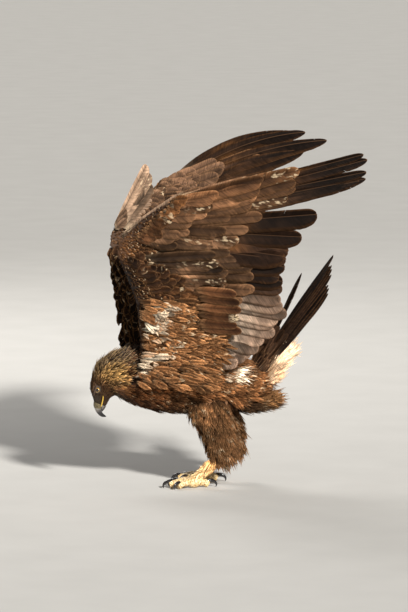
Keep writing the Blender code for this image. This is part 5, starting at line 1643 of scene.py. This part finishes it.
def pit_feathers(name, side):
    """Loose soft feathers in the wing pit, ruffled, with cream patches and the wing's painted light and shade."""
    draw = np.random.default_rng(SEED + 60 + side)
    rack = Rack(MANY)
    soft = (SOFT_FEATHER, SOFT_FEATHER)
    for b in PIT_ROWS:
        for a in np.arange(0.140 if b < 0.11 else 0.075, -0.030, -PIT_STEP):
            root = np.array([a, b]) + draw.uniform(-0.008, 0.008, 2)
            if root[0] < -0.018 and root[1] > 0.03:
                continue
            turn = math.radians(-6 - 170 * max(0.0, 0.03 - root[1])) + draw.normal(0, 0.20)
            ruffled = math.exp(-((root[0] - 0.010) / 0.030) ** 2 - ((root[1] - 0.100) / 0.045) ** 2)
            if draw.uniform() < ruffled * 0.35 and root[1] < 0.128:
                turn -= draw.uniform(0.2, 0.9)
            length = draw.uniform(0.046, 0.080) * (1 - 0.35 * ruffled)
            length = length * np.interp(root[1], [-0.02, 0.05], [0.72, 1.0])
            tip = root + np.array([math.cos(turn), math.sin(turn)]) * length
            level = np.interp(root[0], [-0.03, 0.03, 0.10, 0.15], [0.0150, 0.0165, 0.0140, 0.0125])
            level += max(0.0, 0.010 - root[1]) * 0.75
            put, reach = wing_put(side, root, tip)
            cream = sum(math.exp(-((root[0] - x) / wide) ** 2 - ((root[1] - y) / high) ** 2)
                        for x, y, wide, high in CREAM_MARKS)
            cream = float(soft_step(cream + draw.uniform(-0.20, 0.20), 0.30, 1.00))
            base = vary(blend(shade(184, 128, 82), shade(142, 94, 58), draw.uniform()), draw, 0.38)
            # the wing's markings and painted light and shade, over the pit too
            base = base * (0.36 + 0.90 * wing_marks_and_shading(root[0] + 0.03, root[1]))
            paint = flight_colour(blend(base, CREAM * 0.86, cream), blend(base * 0.85, CREAM * 0.55, cream * 0.6),
                                  0.55, blend(shade(190, 150, 112), CREAM * 0.6, cream))
            rack.add(put, reach, (draw.uniform(0.0050, 0.0080), draw.uniform(0.0055, 0.0090)), soft, paint, draw,
                     rows=9, columns=7, level=(level, level + 0.0070), splits=0.4, shaft=0.0, tile=0.10,
                     camber=0.0, fray=0.26)
    for index, (b, reach) in enumerate(LAST_COVERTS):
        root = np.array([0.120 + 0.004 * (index % 2), b + 0.004]) + draw.uniform(-0.003, 0.003, 2)
        tip = np.array([reach, b])
        put, length = wing_put(side, root, tip)
        paint = flight_colour(vary(shade(128, 84, 54), draw, 0.2), vary(shade(78, 48, 30), draw, 0.2), 0.06,
                              shade(170, 126, 88))
        rack.add(put, length, (0.0120, 0.0130), (SHORT_FEATHER, SHORT_FEATHER), paint, draw, rows=14, columns=7,
                 level=(0.0215, 0.0270 - 0.0006 * index), splits=1.0, shaft=0.0, tile=0.06, camber=0.10)
    rack.build("pit_" + name, PLUME, "plumage")


def fore_coverts():
    """Loose dark feathers along the front of the far wing, which show before the near one, darkened further as painted
    shade from the near wing.
    """
    draw = np.random.default_rng(SEED + 80)
    rack = Rack(FORE_ROOM)
    for row, reach in enumerate(FORE_REACHES):
        for b in FORE_ROWS:
            out = reach * (1 - soft_step(b, 0.165, 0.235)) - 0.022 * soft_step(b, 0.16, 0.24)
            root = np.array([-0.028 + out, b + 0.012]) + draw.uniform(-0.004, 0.004, 2)
            turn = math.radians(draw.uniform(-118, -96))
            length = draw.uniform(0.034, 0.052)
            put, length = wing_put(RIGHT, root, root + np.array([math.cos(turn), math.sin(turn)]) * length)
            # dark brown, darkened further as painted shade that the near wing casts
            paint = flight_colour(vary(shade(58, 39, 27), draw, 0.4), vary(shade(44, 29, 20), draw, 0.3), 0.1,
                                  shade(70, 48, 33))
            level = -0.012 + 0.006 * row
            rack.add(put, length, (0.0085, 0.0100), (SOFT_FEATHER, SOFT_FEATHER), paint, draw, rows=9, columns=7,
                     level=(level, level - 0.003), splits=0.4, shaft=0.0, camber=0.05, fray=0.22)
    rack.build("fore_coverts", LINING, "plumage")


for name, side in SIDES.items():
    wing_feathers(name, side)
    pit_feathers(name, side)
fore_coverts()

# %% [markdown]
# ## The alula
# The alula is the bird's thumb: four stiff feathers on the wrist that it raises when it slows
# down. On the far wing they stand up clear of the leading edge.

# %% Alula feathers
ALULA_COVERTS = 3
for name, side in SIDES.items():
    draw = np.random.default_rng(SEED + 7 + side)
    rack = Rack(len(ALULA_LENGTHS) + ALULA_COVERTS)
    angle = ALULA_ANGLE[side]
    paint = covert_colour(shade(160, 134, 112), shade(122, 94, 74), shade(206, 180, 150), 0.35)
    for index, length in enumerate(ALULA_LENGTHS):
        turn = angle - math.radians(3.5 * index)
        root = np.array(ALULA_START) + np.array([0.006, 0.008]) - np.array([-0.006, 0.004]) * index
        tip = root + np.array([math.cos(turn), math.sin(turn)]) * length
        put, reach = wing_put(side, root, tip)
        level = -0.0150 + 0.0012 * index
        rack.add(put, reach, (0.009, 0.017), (BROAD_FEATHER, BROAD_FEATHER), paint(0.3, draw), draw, rows=24,
                 level=(level, level - 0.001), bend=0.004, splits=1.0, shaft=0.0008)
    for index in range(ALULA_COVERTS):
        turn = angle - math.radians(4 + 6 * index)
        root = np.array(ALULA_START) + np.array([0.002, 0.002 - 0.004 * index])
        tip = root + np.array([math.cos(turn), math.sin(turn)]) * (0.052 - 0.006 * index)
        put, reach = wing_put(side, root, tip)
        rack.add(put, reach, (0.007, 0.010), (SHORT_FEATHER, SHORT_FEATHER), paint(0.8, draw), draw, rows=14,
                 columns=5, level=(-0.0135, -0.0175), splits=1.0, shaft=0.0006)
    rack.build("alula_" + name, COVERT, "flight_feather", f"wing_{name}_alula")

# %% [markdown]
# ## The tail
# Twelve broad feathers overlap like tiles, held nearly closed and seen almost edge on. The
# outermost one on the right stands off from the rest. Shorter coverts cover their roots above,
# and long soft ones, golden and white, hang below.

# %% Tail feathers
def free_put(start, ahead, across):
    """A way to place a feather in open space."""
    normal = np.cross(ahead, across)

    def put(along, sideways, height):
        along, sideways, height = np.broadcast_arrays(along, sideways, height)
        return (start + ahead * along[..., None] + across * sideways[..., None]
                + normal * height[..., None])
    return put


# degrees from the tail's line and length, from the left outermost to the right one, which stands off
TAIL_FEATHERS = [(-8.0, 0.236), (-7.0, 0.247), (-6.2, 0.252), (-3.6, 0.275), (-3.0, 0.286), (-2.4, 0.293),
                 (-1.4, 0.289), (0.0, 0.300), (0.6, 0.312), (1.2, 0.315), (2.0, 0.304), (18.0, 0.250)]
# the two rows of upper coverts: count, length, half width, level and degrees between two feathers
TAIL_COVERTS = [(5, 0.115, 0.014, 0.0098, 7), (4, 0.080, 0.013, 0.0125, 8)]
tail_draw = np.random.default_rng(SEED + 3)
tail_rack = Rack(len(TAIL_FEATHERS) + sum(row[0] for row in TAIL_COVERTS))
for index, (degrees, length) in enumerate(TAIL_FEATHERS):
    place = index - (len(TAIL_FEATHERS) - 1) / 2
    angle = math.radians(degrees)
    ray = TAIL_ALONG * math.cos(angle) + TAIL_ACROSS * math.sin(angle)
    across = TAIL_ACROSS * math.cos(angle) - TAIL_ALONG * math.sin(angle)
    start = (TAIL_ROOT + TAIL_ALONG * 0.030 + TAIL_ACROSS * place * 0.0030
             + TAIL_UPPER * (0.0060 - abs(place) * 0.0024))
    # near black: the tail's own dark brown, darkened further as painted shade of its edge-on view
    paint = flight_colour(vary(shade(28, 21, 18), tail_draw), vary(shade(13, 10, 9), tail_draw), 0.3,
                          shade(120, 96, 76))
    tail_rack.add(free_put(start, ray, across), length, (0.0110, 0.0135), (TAIL_FEATHER, TAIL_FEATHER), paint,
                  tail_draw, bend=-0.008, tile=0.10 * np.sign(place), camber=0.12, splits=1.5)
for count, reach, width, lift, spread in TAIL_COVERTS:
    for index in range(count):
        place = index - (count - 1) / 2
        angle = place * math.radians(spread)
        ray = unit(TAIL_ALONG * math.cos(angle) + TAIL_ACROSS * math.sin(angle) + TAIL_UPPER * 0.03)
        across = -unit(np.cross(TAIL_UPPER, ray))
        start = (TAIL_ROOT + TAIL_ALONG * 0.022 + TAIL_ACROSS * place * 0.008
                 + TAIL_UPPER * (lift - abs(place) * 0.0016))
        paint = flight_colour(vary(shade(104, 76, 56), tail_draw), vary(shade(66, 48, 37), tail_draw), 0.1,
                              shade(150, 120, 92))
        tail_rack.add(free_put(start, ray, across), reach, (width, width), (SHORT_FEATHER, SHORT_FEATHER), paint,
                      tail_draw, rows=18, columns=5, tile=0.0, camber=0.2, splits=1.0, shaft=0.0007)
tail_rack.build("tail_feathers", FLIGHT, "flight_feather", "tail")

# %% [markdown]
# ## Eyes and lids
# A golden eagle's iris is amber, round a large black pupil, under a clear domed cornea. The
# whole eye is one smooth ball, and its rings of colour depend only on the distance from the
# axis that it looks along, so they can be worked out from the place on the object. The lid is a
# soft ring that lies on the ball.

# %% Eye finish and balls
# distance from the eye's axis in centimetres, and the colour there
IRIS_STOPS = [(0.0, shade(5, 4, 4)), (0.34, shade(5, 4, 4)), (0.37, shade(90, 56, 20)), (0.46, shade(172, 134, 66)),
              (0.58, shade(146, 110, 52)), (0.68, shade(60, 38, 16)), (0.74, shade(12, 9, 8))]


def eye_finish(name, side):
    """Amber iris with a dark rim and a black pupil, by distance from the eye's axis."""
    graph = Finish(name, 0.03, Coat_Weight=1.0, Coat_Roughness=0.02)
    centre = head_point(0.0, 0.0, side * EYE_OUT) - ORIGIN
    look = unit(HEAD_OUT * side + HEAD_AHEAD * 0.12 - HEAD_CROWN * 0.02)
    away = graph.vectors("SUBTRACT", graph.spot(), tuple(centre))
    reach = graph.vectors("LENGTH", graph.vectors("CROSS_PRODUCT", away, tuple(look)), out=1)
    streaks = graph.math("SUBTRACT", graph.noise(graph.spot(), 900.0, 3.0), 0.5)
    return graph.done(graph.ramp(graph.plus(graph.times(reach, 100.0), graph.times(streaks, 0.06)), *IRIS_STOPS))


for name, side in SIDES.items():
    axes = [way * EYE_RADIUS for way in (HEAD_OUT, HEAD_AHEAD, HEAD_CROWN)]
    ball = ball_rings(head_point(0.0, 0.0, side * EYE_OUT), axes, 40, 48)
    round_piece("eyeball_" + name, [ball], eye_finish("iris_" + name, side), "eye", "eye_" + name)
print("eyes set")

# %% Lid rings and brows
# half width, half height, distance from the middle of the head, and thickness of each ring
LID_RINGS = [(0.0071, 0.0056, 0.0284, 0.0011), (0.0079, 0.0068, 0.0277, 0.0012)]
LID_STEPS = 48
# the brow's line: forward of the eye, above it, and out from the middle of the head
BROW_FORWARD = [-0.0105, -0.004, 0.004, 0.012, 0.018]
BROW_ABOVE = [0.0034, 0.0046, 0.0048, 0.0038, 0.0020]
BROW_OUT = np.array([0.0274, 0.0292, 0.0294, 0.0270, 0.0232])
BROW_STEPS = 24


def skin_like(name, first, second, scale, relief, roughness=0.55):
    """Fine leathery skin in two colours."""
    graph = Finish(name, roughness)
    grain = graph.noise(graph.spot(), scale, 4.0)
    pits = graph.add("ShaderNodeTexVoronoi", Vector=graph.spot(), Scale=scale * 2.0)
    colour = graph.mix(graph.ramp(grain, (0.3, 0.0), (0.7, 1.0)), first, second)
    return graph.done(colour, graph.bump(graph.plus(grain, pits), relief))


def lid_ring(side, width, height, reach, radius):
    """One closed soft ring around the eye."""
    turn = np.linspace(0, 2 * math.pi, LID_STEPS + 1)[:-1]
    lift = np.where(np.sin(turn) > 0, 0.86, 1.0)
    centres = head_point(width * np.cos(turn), height * np.sin(turn) * lift - 0.0002,
                         side * (reach - 0.10 * width * np.cos(turn)))
    ahead = unit(np.roll(centres, -1, axis=0) - np.roll(centres, 1, axis=0))
    away = unit(centres - centres.mean(axis=0))
    above = np.cross(ahead, away)
    spin = around_circle(12)[None, :, None]
    rings = centres[:, None, :] + (away[:, None, :] * np.cos(spin) + above[:, None, :] * np.sin(spin)) * radius
    return np.concatenate([rings, rings[:1]])


LID = skin_like("lid_skin", shade(36, 29, 22), shade(58, 46, 32), 900.0, 0.00025)
BROW = skin_like("brow_skin", shade(52, 38, 28), shade(74, 54, 38), 900.0, 0.0003)
for name, side in SIDES.items():
    round_piece("eyelid_" + name, [lid_ring(side, *sizes) for sizes in LID_RINGS], LID, "plumage")
    path = smooth_rows(head_point(BROW_FORWARD, BROW_ABOVE, side * BROW_OUT), np.linspace(0, 4, BROW_STEPS))
    radii = np.interp(np.linspace(0, 1, BROW_STEPS), [0, 0.3, 0.7, 1], [0.0012, 0.0024, 0.0024, 0.0010])
    round_piece("brow_" + name, [tube_rings(path, radii, 14)], BROW, "plumage")
print("lids and brows set")

# %% [markdown]
# ## The bill
# The bill is horn, pale grey at its base and black at the hooked tip. The soft yellow cere
# covers its root and holds the nostrils, and the yellow gape runs back under the eye. All are
# swept along three curves: the ridge, the cutting edge and the lower line.

# %% Bill finishes
HORN_STOPS = [(0.0, shade(172, 166, 156)), (0.30, shade(120, 114, 108)), (0.60, shade(48, 45, 46)),
              (1.0, shade(20, 19, 21))]


def bill_finish():
    """Grey horn that darkens to a black tip, with fine growth lines."""
    graph = Finish("bill_horn", 0.28, Coat_Weight=0.25, Coat_Roughness=0.15)
    base = head_point(0.044, -0.016) - ORIGIN
    run = unit(HEAD_AHEAD * 0.55 - HEAD_CROWN * 0.85)
    away = graph.vectors("SUBTRACT", graph.spot(), tuple(base))
    reach = graph.vectors("DOT_PRODUCT", away, tuple(run), out=1)
    grain = graph.noise(graph.spot(), 260.0, 4.0)
    colour = graph.ramp(graph.plus(graph.times(reach, 42.0), graph.times(grain, 0.35)), *HORN_STOPS)
    lines = graph.math("SINE", graph.times(reach, 5200.0))
    return graph.done(colour, graph.bump(graph.plus(graph.times(lines, 0.25), grain), 0.00025))


HORN = bill_finish()
CERE = skin_like("cere_skin", shade(70, 64, 54), shade(114, 100, 66), 420.0, 0.0003, 0.42)
GAPE = skin_like("gape_skin", shade(206, 160, 58), shade(226, 190, 84), 420.0, 0.0003, 0.42)
print("bill finishes:", HORN.name, CERE.name, GAPE.name)

# %% Bill, cere and nostrils
BILL_ROUNDNESS = 0.75
NOSTRIL_DEPTH = 0.0026
NOSTRIL_SIZE = (0.0027, 0.0013)
LOWER_END = 3.0
UPPER_END = 6.0


def bill_rings(places, low_curve, high_curve, width_scale=1.0, count=28):
    """Rings of the bill between its lower and upper curves."""
    low = smooth_rows(low_curve, places)
    high = smooth_rows(high_curve, places)
    half = smooth_rows(BILL_HALF_WIDTHS, places)[:, 0] * width_scale
    turn = np.linspace(0, math.pi, count)
    height = np.sin(turn) ** BILL_ROUNDNESS
    forward = low[:, :1] + (high - low)[:, :1] * height
    above = low[:, 1:] + (high - low)[:, 1:] * height
    return head_point(forward, above, half[:, None] * np.cos(turn))


cere_rings = bill_rings(np.linspace(-0.12, CERE_SHARE + 0.02, 40), TOMIUM, CULMEN, 1.05, 40)
for side in (LEFT, RIGHT):
    away = cere_rings - head_point(0.0395, -0.0135, side * 0.0092)
    along = away @ unit(HEAD_CROWN * 0.9 - HEAD_AHEAD * 0.43)
    wide = away @ unit(HEAD_AHEAD * 0.9 + HEAD_CROWN * 0.43)
    dent = 1 - soft_step(np.sqrt((along / NOSTRIL_SIZE[0]) ** 2 + (wide / NOSTRIL_SIZE[1]) ** 2), 0.55, 1.1)
    cere_rings[..., 1] -= side * dent * (cere_rings[..., 1] * side > 0) * NOSTRIL_DEPTH
round_piece("cere_soft", [cere_rings], CERE, "yellow_skin", "cere")
upper_rings = bill_rings(np.linspace(CERE_SHARE, UPPER_END, 56), TOMIUM, CULMEN)
round_piece("bill_upper_horn", [upper_rings], HORN, "horn", "bill_upper")
lower_places = np.linspace(0.0, LOWER_END, 30)
top = smooth_rows(TOMIUM, lower_places)
low = smooth_rows(GONYS, lower_places)
half = smooth_rows(BILL_HALF_WIDTHS, lower_places)[:, 0] * 0.93
taper = 1 - lower_places / LOWER_END * 0.35
turn = np.linspace(0, math.pi, 24)
depth = np.sin(turn) ** BILL_ROUNDNESS
edge = top + (low - top) * 0.03
forward = edge[:, :1] + (low - edge)[:, :1] * depth * taper[:, None]
above = edge[:, 1:] + (low - edge)[:, 1:] * depth * taper[:, None]
lower_rings = head_point(forward, above - 0.0004, (half * taper)[:, None] * np.cos(turn))
round_piece("bill_lower_horn", [lower_rings], HORN, "horn", "bill_lower")
print("bill set")

# %% Gape
# the fold's line: forward of the eye, above it (less is lower), and out from the middle
GAPE_FORWARD = [0.0350, 0.0280, 0.0210, 0.0145, 0.0085]
GAPE_ABOVE = [-0.0228, -0.0221, -0.0209, -0.0193, -0.0174]
GAPE_OUT = np.array([0.0124, 0.0172, 0.0216, 0.0252, 0.0272])
GAPE_STEPS = 24
radii = np.interp(np.linspace(0, 1, GAPE_STEPS), [0, 0.3, 0.8, 1.0], [0.0014, 0.0016, 0.0012, 0.0004])
folds = []
for side in (LEFT, RIGHT):
    path = smooth_rows(head_point(GAPE_FORWARD, GAPE_ABOVE, side * GAPE_OUT), np.linspace(0, 4, GAPE_STEPS))
    folds.append(tube_rings(path, radii, 12))
round_piece("gape_fold", folds, GAPE, "yellow_skin")
print("gape set")

# %% [markdown]
# ## Feet and claws
# The toes are yellow, with broad scutes across their tops and small round scales below and at
# the sides. The scutes are real steps in the mesh. The claws are smooth, black and curved.

# %% Foot finishes
def toe_finish():
    """Yellow scaly skin with darker lines between the scales."""
    graph = Finish("toe_skin", 0.42)
    cells = graph.add("ShaderNodeTexVoronoi", Vector=graph.spot(), Scale=330.0)
    grain = graph.noise(graph.spot(), 180.0, 3.0)
    colour = graph.mix(graph.ramp(grain, (0.3, 0.0), (0.7, 1.0)), shade(226, 190, 122), shade(250, 232, 190))
    # darker lines between the scales: partly their own edges, partly painted shade in the grooves
    colour = graph.mix(graph.ramp(cells, (0.35, 0.0), (0.75, 0.85)), colour, shade(138, 96, 46))
    return graph.done(colour, graph.bump(graph.math("SUBTRACT", 1.0, cells), 0.0009))


def claw_finish():
    """Black polished horn, mottled a little paler."""
    graph = Finish("claw_horn", 0.18, Coat_Weight=0.4, Coat_Roughness=0.08)
    grain = graph.noise(graph.spot(), 300.0, 3.0)
    colour = graph.ramp(grain, (0.3, shade(16, 15, 17)), (0.8, shade(44, 40, 40)))
    return graph.done(colour, graph.bump(grain, 0.0002))


TOE = toe_finish()
CLAW = claw_finish()
print("foot finishes:", TOE.name, CLAW.name)

# %% Toes and claws
SCUTE_LENGTH = 0.0042
CLAW_SWEEP = math.radians(118)
CLAW_INSET = 0.004
UP = np.array([0.0, 0.0, 1.0])


def toe_rings(side, heading, length, radius):
    """Rings of one toe, with steps for its scutes and pads below its joints."""
    base = np.array([FOOT_X[side], side * LEG_OUT, 0.0])
    t = np.linspace(0, 1, 64)
    height = 0.0135 * (1 - t) + 0.0072 * t + 0.004 * np.sin(math.pi * t)
    path = base + heading * length * t[:, None] + UP * height[:, None]
    radii = radius * (1 - 0.30 * t + 0.06 * np.sin(5 * math.pi * t))
    ahead = unit(np.gradient(path, axis=0))
    across = unit(np.cross(ahead, UP))
    above = np.cross(across, ahead)
    turn = around_circle(20)
    scute = (t * length / SCUTE_LENGTH) % 1.0
    step = 1 + 0.075 * (scute ** 0.5)[:, None] * soft_step(np.sin(turn), 0.2, 0.7)[None, :]
    pads = 1 + 0.10 * (np.sin(4 * math.pi * t + 0.6) > 0)[:, None] * soft_step(-np.sin(turn), 0.4, 0.9)[None, :]
    size = radii[:, None] * step * pads
    rings = (path[:, None, :] + across[:, None, :] * (np.cos(turn) * size)[..., None]
             + above[:, None, :] * (np.sin(turn) * size)[..., None])
    rings[..., 2] = np.maximum(rings[..., 2], 0.0)
    return rings, path[-1]


def claw_shape(heading, start, size):
    """Rings of a curved claw that comes down to the floor."""
    t = np.linspace(0, 1, 28)
    turn = t * CLAW_SWEEP
    reach = size * 0.62 * np.sin(turn) + size * 0.10 * t
    drop = size * 0.62 * (np.cos(turn) - 1) + 0.0070
    path = start + heading * reach[:, None] + UP * drop[:, None]
    radii = 0.0048 * (1 - t) ** 0.8 + 0.0006
    lowest = (path[:, 2] - radii).min()
    path[:, 2] += max(0.0, 0.0002 - lowest) * t
    ahead = unit(np.gradient(path, axis=0))
    across = np.cross(heading, UP)
    above = np.cross(across, ahead)
    spin = around_circle(14)[None, :, None]
    rings = path[:, None, :] + (across * np.cos(spin) * 0.86 + above[:, None, :] * np.sin(spin)) * radii[:, None, None]
    rings[..., 2] = np.maximum(rings[..., 2], 0.0)
    return rings


for name, side in SIDES.items():
    toes = [ball_rings([FOOT_X[side] + 0.001, side * LEG_OUT, 0.0125],
                       [(0, 0, 0.0122), (0.017, 0, 0), (0, 0.0135, 0)], 20, 28)]
    claws = []
    for degrees, length, radius, claw in TOES.values():
        turn = math.radians(180 + side * -degrees)
        heading = np.array([math.cos(turn), math.sin(turn), 0.0])
        rings, end = toe_rings(side, heading, length, radius)
        toes.append(rings)
        claws.append(claw_shape(heading, end - heading * CLAW_INSET, claw))
    round_piece("toes_" + name, toes, TOE, "yellow_skin", "foot_" + name)
    round_piece("claws_" + name, claws, CLAW, "horn", *[f"claw_{name}_{toe}" for toe in TOES])
print("feet set")

# %% [markdown]
# ## The floor
# A plain pale floor takes the bird's shadow. It is marked as stage, so it isn't part of the model.

# %% Floor and last measures
FLOOR_REACH = 60
FLOOR_CORNERS = [(-1, -1), (1, -1), (1, 1), (-1, 1)]
floor_mesh = bpy.data.meshes.new("floor")
floor_mesh.from_pydata([(x * FLOOR_REACH, y * FLOOR_REACH, 0) for x, y in FLOOR_CORNERS], [], [(0, 1, 2, 3)])
floor_graph = Finish("pale_floor", 0.9)
floor_grain = floor_graph.noise(floor_graph.spot(), 6.0, 3.0)
floor_colour = floor_graph.ramp(floor_grain, (0.2, shade(196, 195, 192)), (0.8, shade(203, 202, 199)))
floor_mesh.materials.append(floor_graph.done(floor_colour))
in_scene("floor", floor_mesh)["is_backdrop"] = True
for group in PATTERNS.values():
    for pattern in list(group.objects):
        bpy.data.objects.remove(pattern)
    bpy.data.collections.remove(group)
low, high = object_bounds()
print("visual box", [round(v, 4) for v in low], [round(v, 4) for v in high])
